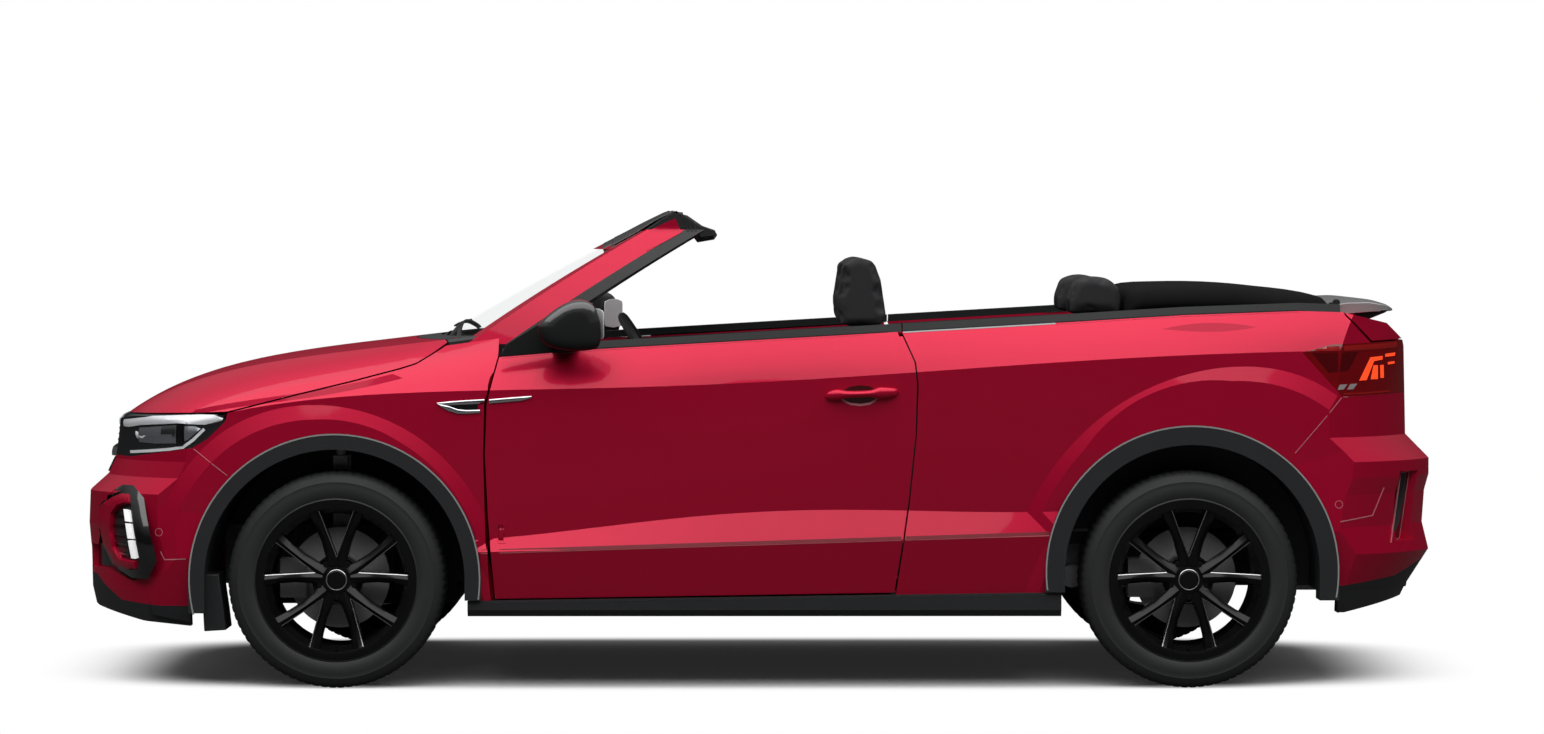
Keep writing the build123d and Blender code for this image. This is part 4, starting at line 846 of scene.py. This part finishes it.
# ---- windscreen: shaded band, header, wipers ----
HEADER = Skin("windscreen", "windscreen_frame")
HEADER_TRIM = Skin("windscreen", "windscreen_frame", "frame_trim")
SCREEN_INWARD = (0.438, 0, -0.9)
SCREEN_SPOT = (-446, 1353)    # x and z of a place on it
SCREEN_AWAY = 400            # how far off the lines that look for it start
SCREEN_RISE = 2.05           # how far the screen runs rearward for each millimetre up
SCREEN_EDGE = 6
SCREEN_TOP_HALF = max(abs(v.co.y) for v in nodes["windscreen"].data.vertices if v.co.z > 1.34) / MM - SCREEN_EDGE
SCREEN_BAND = (1334, 1424)   # lowest and highest z
HEADER_BAND = (1352, 1450)
FOOT_BAND = (-640, 640, 1064, 1080)
HEADER_RISE = 9              # the cover over the header stands out no further than this


def on_screen(y, z, skin=HEADER):
    """A place on the front of the screen and of the header above it."""
    inward = Vector(SCREEN_INWARD)
    x = SCREEN_SPOT[0] + (z - SCREEN_SPOT[1]) * SCREEN_RISE
    return skin.hit(Vector((x, y, z)) - SCREEN_AWAY * inward, inward)


def over_header(half, low, high, across=48, rows=16, reach=2):
    """Places on an even cover over the header: each takes the highest of its neighbours."""
    grid = [[(half * (2 * step / across - 1), low + (high - low) * r / rows) for step in range(across + 1)]
            for r in range(rows + 1)]
    out = -Vector(SCREEN_INWARD)
    places = [[on_screen(y, z, HEADER_TRIM)[0] for y, z in row] for row in grid]
    covers = {}
    for r, row in enumerate(grid):
        for s, point in enumerate(row):
            near = [places[b][a] for b in range(max(0, r - reach), min(rows, r + reach) + 1)
                    for a in range(max(0, s - reach), min(across, s + reach) + 1)]
            rise = max(p.dot(out) for p in near) - places[r][s].dot(out)
            covers[point] = (places[r][s] + out * min(rise, HEADER_RISE), out)
    return grid, lambda y, z: covers[(y, z)]


slab("screen_band", field(-SCREEN_TOP_HALF, SCREEN_TOP_HALF, *SCREEN_BAND, 48, 6), on_screen, "gloss_black", "chassis",
     "band", lift=1.2, sink=1)
header_band, on_header = over_header(SCREEN_TOP_HALF, *HEADER_BAND)
slab("header_band", header_band, on_header, "gloss_black", "chassis", "band", sink=1)
slab("screen_foot_band", field(*FOOT_BAND, 48, 2), on_screen, "gloss_black", "chassis", "band", lift=1.2, sink=1)
PILLAR_TOP = (((-352, 1408), (-300, 1434), (-263, 1450)), ((-352, 1347), (-290, 1380), (-243, 1406)))
PILLAR_RIBS = 3
PILLAR_RIB_X = -222
PILLAR_RIB_PITCH = 12
for name, side in SIDES:
    find = Skin("frame_trim", "windscreen_frame").beside(side)
    slab(f"pillar_top_{name}", between(*PILLAR_TOP, 6, 6), find, "paint", "chassis", sink=1)
    for row in range(PILLAR_RIBS):
        x = PILLAR_RIB_X + PILLAR_RIB_PITCH * row
        line_on(f"pillar_rib_{row}_{name}", ((x, 1410), (x - 14, 1448)), find, "gloss_black", "chassis", "seat_back", 5,
                lift=2)
# pivot, blade's two ends, as (y, z)
WIPERS = (((-500, 1090), (-560, 1104), (-40, 1106)), ((60, 1090), (10, 1104), (500, 1106)))
for row, (pivot, start, end) in enumerate(WIPERS):
    middle = tuple((a + b) / 2 for a, b in zip(start, end))
    for part, line, width, steps, lift, sink in (("arm", (pivot, middle), 7, 10, 12, -6),
                                                 ("blade", (start, end), 6, 16, 7, -0.5)):
        slab(f"wiper_{part}_{row}", stripe(line, width, steps), on_screen, "gloss_black", "chassis", "black_plastic",
             lift=lift, sink=sink)

# ---- door mirrors ----
# the housing's outline in x and z, then each section's y, its scale about the middle, and how far its rear end is
# pulled forward
MIRROR_LINE = ((-676, 1120), (-663, 1138), (-645, 1156), (-601, 1187), (-564, 1200), (-526, 1200), (-501, 1191),
               (-487, 1173), (-476, 1138), (-472, 1101), (-475, 1066), (-484, 1049), (-530, 1045), (-575, 1044),
               (-640, 1053), (-667, 1074), (-677, 1100))
MIRROR_MIDDLE = (-566, 1118)
MIRROR_ROWS = ((862, 0.55, 80), (872, 0.8, 76), (890, 0.95, 66), (915, 1.02, 50), (945, 1.025, 30), (972, 1.0, 10),
               (988, 0.9, 0), (998, 0.66, 0))
SAIL_Y = (858, 869)
SAIL = ((-800, 1024), (-776, 1064), (-684, 1122), (-600, 1130), (-570, 1044))
# across and up, in shares of the glass's half-width and half-height
GLASS_LINE = ((1, 0.72), (0.9, 0.86), (0.5, 0.97), (0, 1), (-0.5, 0.97), (-0.9, 0.86), (-1, 0.72), (-1, -0.5),
              (-0.9, -0.68), (0, -0.78), (0.9, -0.68), (1, -0.5))
GLASS_MIDDLE = (-506, 929, 1119)
GLASS_SIZE = (42, 56)
GLASS_DEPTH = 3
GLASS_TURN = 0.7             # how far rearward the glass runs for each millimetre outward

HOUSING = (-0.69, -0.44, 0.862, 1.036)    # in metres: its x from and to, and its least distance outward and height
SAME_PLACE = 0.00005         # in metres


def foot_of_mirror(name):
    """Corners and faces of a CAD mirror's foot along the belt, without its housing."""
    work = bmesh.new()
    work.from_mesh(nodes[f"mirror_{name}"].data)
    bmesh.ops.remove_doubles(work, verts=work.verts, dist=SAME_PLACE)
    start, end, inner, low = HOUSING
    housing = {v for v in work.verts if abs(v.co.y) > inner and start < v.co.x < end and v.co.z > low}
    gone = [face for face in work.faces if housing.issuperset(face.verts)]
    bmesh.ops.delete(work, geom=gone, context="FACES")
    work.verts.index_update()
    verts = [v.co / MM for v in work.verts]
    faces = [tuple(v.index for v in face.verts) for face in work.faces]
    work.free()
    return verts, faces


for name, side in SIDES:
    door = f"door_{name}"
    cad = (f"mirror_{name}",)
    mesh_piece(f"mirror_foot_{name}", *foot_of_mirror(name), "gloss_black", door, "moulding", replaces=cad)
    middle_x, middle_z = MIRROR_MIDDLE
    verts = []
    for y, size, pull in MIRROR_ROWS:
        verts += [(middle_x + (x - middle_x) * size - pull * max(0, (x - middle_x) / 100), side * y,
                   middle_z + (z - middle_z) * size) for x, z in MIRROR_LINE]
    faces = bar_faces(len(MIRROR_ROWS), len(MIRROR_LINE))
    inks = [0 if min(verts[i][2] for i in face) > middle_z else 1 for face in faces]
    mesh_piece(f"mirror_housing_{name}", verts, faces, "gloss_black", door, ("mirror_cap", "moulding"), replaces=cad,
               inks=inks, levels=2, angle=60)
    plate(f"mirror_sail_{name}", SAIL, side, *SAIL_Y, "gloss_black", door, finish="moulding", bevel=2)
    x, y, z = GLASS_MIDDLE
    half, height = GLASS_SIZE
    verts = [(x + GLASS_TURN * half * across + out, side * (y + half * across), z + height * up)
             for out in (0, GLASS_DEPTH) for across, up in GLASS_LINE]
    faces = bar_faces(2, len(GLASS_LINE))
    mesh_piece(f"mirror_glass_{name}", verts, faces, "gloss_black", door, "mirror_glass", bevel=1)

# ---- soft parts ----
CLOTH_FRAMES = 20
PRESSURE = 4.0
CLOTH_QUALITY = 4
SMOOTH_ROUNDS = 6
SEAT_GAP = 0.6               # how far inside its hull a stuffed pad stays
SEAM_DEPTH = 5
CHANNEL_SHARE = 0.8          # a channel across a panel is this much shallower than a seam
SEAM_HALF = 4.5
PANEL_EASE = 18              # half the width over which a dished panel runs out
FACING = (0.35, 0.8)         # how squarely a face looks outward before it takes part in the dish, and fully


def walk_out(piece):
    """The mesh that a piece shows with its modifiers applied, which are then taken off."""
    depsgraph = bpy.context.evaluated_depsgraph_get()
    made = bpy.data.meshes.new_from_object(piece.evaluated_get(depsgraph))
    piece.modifiers.clear()
    return made


def inside_only(tree, place, gap):
    """The same place, or the nearest one that lies gap metres inside a closed surface."""
    nearest, normal, _, _ = tree.find_nearest(place)
    if (place - nearest).dot(normal) > -gap:
        return nearest - normal * gap
    return place


def prism(outline, low, high):
    """The mesh of an outline in x and z drawn out between two y, and a tree to measure against it."""
    mesh = bpy.data.meshes.new("soft_work")
    mesh.from_pydata([Vector((x, y, z)) * MM for y in (low, high) for x, z in outline], [], bar_faces(2, len(outline)))
    work = bmesh.new()
    work.from_mesh(mesh)
    bmesh.ops.recalc_face_normals(work, faces=work.faces)
    bmesh.ops.triangulate(work, faces=[face for face in work.faces if len(face.verts) > 4])
    hull = BVHTree.FromBMesh(work)
    work.to_mesh(mesh)
    work.free()
    return mesh, hull


def blown_up(piece, swell):
    cloth = piece.modifiers.new("cloth", "CLOTH")
    cloth.settings.use_pressure = True
    cloth.settings.uniform_pressure_force = PRESSURE
    cloth.settings.effector_weights.gravity = 0
    cloth.settings.quality = CLOTH_QUALITY
    for frame_number in range(1, CLOTH_FRAMES + 1):
        bpy.context.scene.frame_set(frame_number)
    ends = [v.co.copy() for v in walk_out(piece).vertices]
    bpy.context.scene.frame_set(1)
    return ends


def stuffed(outline, half_widths, voxel, inset, swell):
    """Corners and faces, in millimetres, of a pad that fills a prism: a slack skin that is blown up and capped."""
    mesh, hull = prism(outline, *half_widths)
    piece = add_to_scene("soft_work", mesh)
    remesh = piece.modifiers.new("remesh", "REMESH")
    remesh.mode = "VOXEL"
    remesh.voxel_size = voxel * MM
    smooth = piece.modifiers.new("smooth", "SMOOTH")
    smooth.factor = 0.5
    smooth.iterations = SMOOTH_ROUNDS
    piece.data = walk_out(piece)
    for vertex, normal in zip(piece.data.vertices, [n.vector.copy() for n in piece.data.vertex_normals]):
        vertex.co = vertex.co - normal * inset * MM
    start = [v.co.copy() for v in piece.data.vertices]
    normals = [n.vector.copy() for n in piece.data.vertex_normals]
    for vertex, first, last in zip(piece.data.vertices, start, blown_up(piece, swell)):
        move = last - first
        if move.length > swell * MM:
            move = move.normalized() * swell * MM
        vertex.co = inside_only(hull, first + move, SEAT_GAP * MM)
    finer = piece.modifiers.new("finer", "SUBSURF")
    finer.levels = 1
    piece.data = walk_out(piece)
    verts = [v.co / MM for v in piece.data.vertices]
    normals = [n.vector.copy() for n in piece.data.vertex_normals]
    faces = [tuple(face.vertices) for face in piece.data.polygons]
    bpy.data.objects.remove(piece)
    return verts, normals, faces


def eased(value, low, high):
    share = min(1, max(0, (value - low) / (high - low)))
    return share * share * (3 - 2 * share)


def sewn(verts, normals, middle, panel_half, facing, dish, rises):
    """A dished middle panel between two bolsters, with a seam on each side of it and channels across it.

    rises holds the distances along the panel at which a channel crosses it, and facing is the panel's outward
    direction; along the panel means up for a back rest and rearwards for a cushion.
    """
    along = Vector((facing.z, 0, -facing.x))
    made = []
    for place, normal in zip(verts, normals):
        outward = eased(normal.dot(facing), *FACING)
        offset = abs(place.y - middle)
        depth = dish * outward * (1 - eased(offset, panel_half - PANEL_EASE, panel_half + PANEL_EASE))
        depth += SEAM_DEPTH * outward * math.exp(-(((offset - panel_half) / SEAM_HALF) ** 2))
        if offset < panel_half:
            step = place.dot(along)
            for rise in rises:
                depth += SEAM_DEPTH * CHANNEL_SHARE * outward * math.exp(-(((step - rise) / SEAM_HALF) ** 2))
        made.append(place - normal * depth)
    return made


def soft_piece(name, verts, faces, flip, replaces):
    shown = [(x, -y, z) for x, y, z in verts] if flip else verts
    piece = mesh_piece(name, shown, faces, "upholstery", "chassis", replaces=(replaces,), angle=80)


# outline of each pad as (x, z), then its inner and outer half-width, voxel, inset and swell
FRONT_CUSHION = (((-300, 430), (-310, 520), (-270, 560), (140, 515), (130, 396), (-250, 396)), (145, 605), 10, 12, 11)
FRONT_BACK = (((145, 520), (250, 1060), (290, 1094), (380, 1094), (403, 1080), (263.5, 397), (150, 397)), (145, 605),
              10, 12, 11)
FRONT_HEADREST = (((251, 1110), (245, 1191), (264, 1312), (311, 1334), (359, 1325), (385, 1255), (402, 1140),
                   (392, 1110)),
                  (245, 505), 8, 5, 8)
REAR_CUSHION = (((660.3, 470.5), (660.3, 620), (1000, 620), (1000, 470.5)), (-560, 560), 12, 12, 11)
REAR_BACK = (((960, 622), (1015, 1100), (1050, 1126), (1109.7, 1126), (1109.7, 622)), (-560, 560), 12, 12, 11)
REAR_HEADREST = (((982, 1145), (982, 1190), (1004, 1254), (1052, 1270), (1116, 1260), (1151, 1228), (1151, 1145)),
                 (190, 420), 8, 5, 8)
UP = Vector((0, 0, 1))
FORWARD = Vector((-1, 0, 0))
# name, shape, facing, panel's half-width, dish, channels, fill, replaced node of the pads that come in pairs
PAIRED_PADS = (
    ("front_cushion", FRONT_CUSHION, UP, 118, 16, (-220, -150, -80, -10, 60), 0.8, "front_seat_pads"),
    ("front_back", FRONT_BACK, FORWARD, 118, 16, (640, 720, 800, 880, 960, 1030), 0.8, "front_seat_pads"),
    ("front_headrest", FRONT_HEADREST, FORWARD, 96, 3, (), 0.9, "front_seat_pads"),
    ("rear_headrest", REAR_HEADREST, FORWARD, 84, 2, (), 0.9, "rear_seat_pads"),
)
# name, shape, facing, channels of the rear bench, which has two panels
BENCH_PADS = (
    ("rear_cushion", REAR_CUSHION, UP, (740, 820, 900)),
    ("rear_back", REAR_BACK, FORWARD, (740, 830, 920, 1010)),
)
BENCH_PANELS = (-300, 300)
BENCH_PANEL_HALF = 150
BENCH_DISH = 10
for pad, shape, facing, panel, dish, rises, fill, node in PAIRED_PADS:
    verts, normals, faces = stuffed(*shape)
    verts = sewn(verts, normals, sum(shape[1]) / 2, panel, facing, dish, rises)
    for name, side in SIDES:
        soft_piece(f"{pad}_{name}", verts, faces, side < 0, node)
for pad, shape, facing, rises in BENCH_PADS:
    verts, normals, faces = stuffed(*shape)
    for middle in BENCH_PANELS:
        verts = sewn(verts, normals, middle, BENCH_PANEL_HALF, facing, BENCH_DISH, rises)
    soft_piece(pad, verts, faces, False, "rear_seat_pads")

# x, distance from the centre line, lowest and highest z, replaced node of the headrest posts
POSTS = ((325, 300, 1080, 1130, "front_seat_pads"), (325, 450, 1080, 1130, "front_seat_pads"),
         (1080, 250, 1118, 1160, "rear_seat_pads"), (1080, 360, 1118, 1160, "rear_seat_pads"))
for row, (x, y, low, high, node) in enumerate(POSTS):
    profile = ((0.5, low), (7, low), (7, low + 12), (12, low + 13), (13, low + 19), (7, low + 21), (7, high),
               (0.5, high))
    for name, side in SIDES:
        mesh_piece(f"headrest_post_{row}_{name}", turned(profile, 16, x, side * y), bar_faces(len(profile), 16),
                   "upholstery", "chassis", "chrome", replaces=(node,))

# ---- folded top: a stack of cloth whose outer panel is crowned, with the folds showing at its sides ----
# x, top z on the centre line, half-width of the flat part
TOP_ROWS = ((1158, 1150, 560), (1160, 1205, 590), (1172, 1226, 600), (1204, 1243, 606), (1300, 1246, 612),
            (1410, 1247, 615), (1520, 1242, 612), (1602, 1235, 606), (1700, 1224, 596), (1762, 1213, 584),
            (1786, 1200, 570), (1793, 1170, 555))
# share of the way down the side, and how far out of the half-width the layer stands
TOP_SIDE = ((0.0, -60), (0.03, -24), (0.1, 0), (0.22, 14), (0.36, 22), (0.45, 16), (0.5, 4), (0.56, 15), (0.68, 23),
            (0.76, 14), (0.8, 3), (0.86, 12), (0.95, 16), (1.0, 8))
TOP_STEPS = 12               # on each side of the centre line
TOP_SHOULDER = 60
TOP_CROWN = 5
TOP_EDGE = 6                 # how far below the centre line its edge lies
TOP_FOOT = 1087
TOP_HALF = 638
verts = []
for x, top, half in TOP_ROWS:
    row = []
    for step in range(2 * TOP_STEPS + 1):
        share = -1 + step / TOP_STEPS
        y = share * (half - TOP_SHOULDER)
        wrinkle = 1.2 * math.sin(x * 0.05 + 3 * share) + math.sin(y * 0.033)
        row.append((x, y, top - TOP_CROWN * abs(share) ** 3 + min(0, wrinkle - 1)))
    edge = [(x, min(TOP_HALF, half + out), top - TOP_EDGE + (TOP_FOOT - top + TOP_EDGE) * down)
            for down, out in TOP_SIDE]
    verts += [(x, -y, z) for x, y, z in reversed(edge)] + row + edge
rows = len(TOP_ROWS)
columns = len(verts) // rows
foot = [r * columns for r in range(rows)] + [r * columns + columns - 1 for r in range(rows - 1, -1, -1)]
ends = (tuple(range(columns)), tuple(range((rows - 1) * columns, rows * columns)))
faces = [*grid_faces(rows, columns), *ends, tuple(foot)]
piece = mesh_piece("folded_roof", verts, faces, "soft_top", "chassis", replaces=("folded_top",), angle=50, levels=1)

# ---- cabin linings ----
def belt_height(x):
    """The height of the belt line at x, level beyond its ends."""
    for (x0, z0), (x1, z1) in zip(BELT, BELT[1:]):
        if x <= x1:
            return z0 + (z1 - z0) * max(0, x - x0) / (x1 - x0)
    return BELT[-1][1]


# name, lower and upper line in x and z, rows, steps, lift, sink, dome, finish
DOOR_LININGS = (
    ("door_card", ((-735, 345), (-300, 342), (100, 342), (385, 345)),
     ((-780, 1016), (-420, 1044), (0, 1068), (418, 1092)), 16, 8, 4, 1, 1.5, "seat_back"),
    ("armrest", ((-470, 628), (-200, 622), (100, 626), (300, 640)),
     ((-470, 662), (-200, 660), (100, 664), (300, 676)), 6, 8, 34, -3, 10, "upholstery"),
    ("door_pull", ((-430, 700), (-300, 700)), ((-430, 716), (-300, 716)), 3, 6, 14, -4, 0, "chrome"),
    ("door_pocket", ((-560, 380), (240, 380)), ((-520, 480), (220, 480)), 6, 8, 16, -3, 10, "black_plastic"),
)
QUARTER_LINING = (((450, 1087), (981, 1087), (1480, 1087)), ((450, 1094), (981, 1124), (1480, 1138)))
CAP_INNER = 746
CAP_STEPS = (40, 16)         # along and across
# inner and outer y, length, spacing and height above the skin of the stitches along the belt
STITCH_Y = (771, 773)
STITCH_LENGTH = 8
STITCH_PITCH = 13
STITCH_LIFT = Vector((0, 0, 3.9))
for name, side in SIDES:
    door = f"door_{name}"
    for part, low, high, rows, steps, lift, sink, dome, finish in DOOR_LININGS:
        filled = between(low, high, rows, steps)
        slab(f"{part}_{name}", filled, DOORS[name].inside(side), "trim", door, finish, lift=lift, sink=sink, dome=dome)
    slab(f"quarter_lining_{name}", between(*QUARTER_LINING, 3, 10), QUARTER_PANELS.inside(side), "trim", "chassis",
         "seat_back", lift=3, sink=1)
    # the cap's ends, then the stitches' first and last x
    for part, skin, body, first, last, start, stop in (("door", DOORS[name], door, -786, 428, -780, 425),
                                                       ("quarter", QUARTER_PANELS, "chassis", 446, 1786, 450, 1700)):
        along, across = CAP_STEPS
        rows = [[] for r in range(across + 1)]
        for step in range(along + 1):
            x = first + (last - first) * step / along
            edge = abs(skin.beside(side)(x, belt_height(x) - 1)[0].y) - 1
            for r, row in enumerate(rows):
                row.append((x, CAP_INNER + (edge - CAP_INNER) * r / across))
        find = skin.from_above(side)
        slab(f"{part}_cap_{name}", rows, find, "trim", body, "seat_back", lift=3.5, sink=1)
        near, far = STITCH_Y
        verts = [find(x, y)[0] + STITCH_LIFT for left in range(start, stop, STITCH_PITCH)
                 for x, y in ((left, near), (left + STITCH_LENGTH, near), (left + STITCH_LENGTH, far), (left, far))]
        faces = [(i, i + 1, i + 2, i + 3) for i in range(0, len(verts), 4)]
        mesh_piece(f"belt_stitches_{body}_{name}", verts, faces, "trim", body, "stitch")

# ---- dashboard ----
DASH = Skin("dashboard")


def on_dash(y, z):
    return DASH.hit((200, y, z), (-1, 0, 0))


# left, right, lowest, highest, lift, finish of the parts that face the seats
DASH_PARTS = (
    ("dials", (-500, -235, 945, 1018), 6, "screen"),
    ("dials_frame", (-512, -223, 936, 1027), 3, "gloss_black"),
    ("centre_screen", (-120, 120, 905, 1005), 10, "screen"),
    ("centre_frame", (-132, 132, 895, 1015), 6, "gloss_black"),
    ("controls", (-120, 120, 790, 840), 5, "gloss_black"),
    ("glove_box", (230, 620, 720, 850), 5, "trim"),
    ("trim_strip", (150, 640, 905, 940), 5, "lamp_bowl"),
)
# left, right, foot of the lowest slat of each vent
DASH_VENTS = ((-640, -545, 958), (545, 640, 958), (-120, -10, 852), (10, 120, 852))
VENT_SLATS = 4
VENT_PITCH = 10
VENT_SLAT_HEIGHT = 5
for part, box, lift, finish in DASH_PARTS:
    slab(f"dash_{part}", field(*box, 8, 4), on_dash, "trim", "chassis", finish, lift=lift, sink=1, dome=1, bevel=1.5)
for row, (left, right, foot) in enumerate(DASH_VENTS):
    for slat in range(VENT_SLATS):
        low = foot + VENT_PITCH * slat
        rows = field(left, right, low, low + VENT_SLAT_HEIGHT, 4, 1)
        slab(f"dash_vent_{row}_{slat}", rows, on_dash, "trim", "chassis", "black_plastic", lift=4, sink=1)

# ---- console and gear lever ----
# x, half-width, top
CONSOLE = ((-430, 96, 640), (-380, 95, 610), (-250, 88, 560), (0, 82, 545), (60, 84, 560), (90, 88, 590),
           (340, 88, 600), (372, 84, 590))
CONSOLE_FOOT = 340
CONSOLE_EDGE = ((0, 12), (10, 0))    # how far in and down the two corners of its upper edge lie
LEVER_X = -190
LEVER_SQUASH = 0.8
LEVER = ((0.5, 648), (17, 646), (24, 634), (24, 612), (16, 594), (9, 588), (8, 566), (34, 560), (38, 552), (0.5, 548))
verts = []
for x, half, top in CONSOLE:
    edge = [(half - inward, top - down) for inward, down in CONSOLE_EDGE]
    section = [(half, CONSOLE_FOOT), *edge]
    verts += [(x, -y, z) for y, z in section] + [(x, y, z) for y, z in reversed(section)]
mesh_piece("console", verts, bar_faces(len(CONSOLE), 6), "trim", "chassis", "seat_back", bevel=4)
mesh_piece("gear_lever", turned(LEVER, 24, LEVER_X, 0, LEVER_SQUASH), grid_faces(len(LEVER), 24, wrap_columns=True),
           "trim", "chassis", "gloss_black", angle=40)

# ---- inner mirror ----
INNER_MIRROR = (-318, 1352)  # x and z of the middle of its glass
INNER_TILT = 0.25
MIRROR_BACK = ((-110, 0), (-104, 22), (-80, 32), (80, 32), (104, 22), (110, 0), (104, -22), (80, -32), (-80, -32),
               (-104, -22))
MIRROR_DEPTHS = ((0, 0.86), (6, 1), (22, 0.98), (30, 0.7))    # distance behind the glass, scale
# x, half-width, z of the stem's four edges
MIRROR_STEM = ((-348, 12, 1356), (-330, 12, 1366), (-316, 14, 1396), (-300, 14, 1402))
verts = [(INNER_MIRROR[0] - depth, y * size, INNER_MIRROR[1] + z * size + INNER_TILT * depth)
         for depth, size in MIRROR_DEPTHS for y, z in MIRROR_BACK]
mesh_piece("inner_mirror", verts, bar_faces(len(MIRROR_DEPTHS), len(MIRROR_BACK)), "trim", "chassis", "gloss_black",
           levels=1)
verts = [(x, y, z) for x, half, z in MIRROR_STEM for y in (-half, half)]
faces = [(0, 1, 3, 2), (4, 6, 7, 5), (0, 4, 5, 1), (2, 3, 7, 6), (0, 2, 6, 4), (1, 5, 7, 3)]
mesh_piece("inner_mirror_stem", verts, faces, "trim", "chassis", bevel=2)
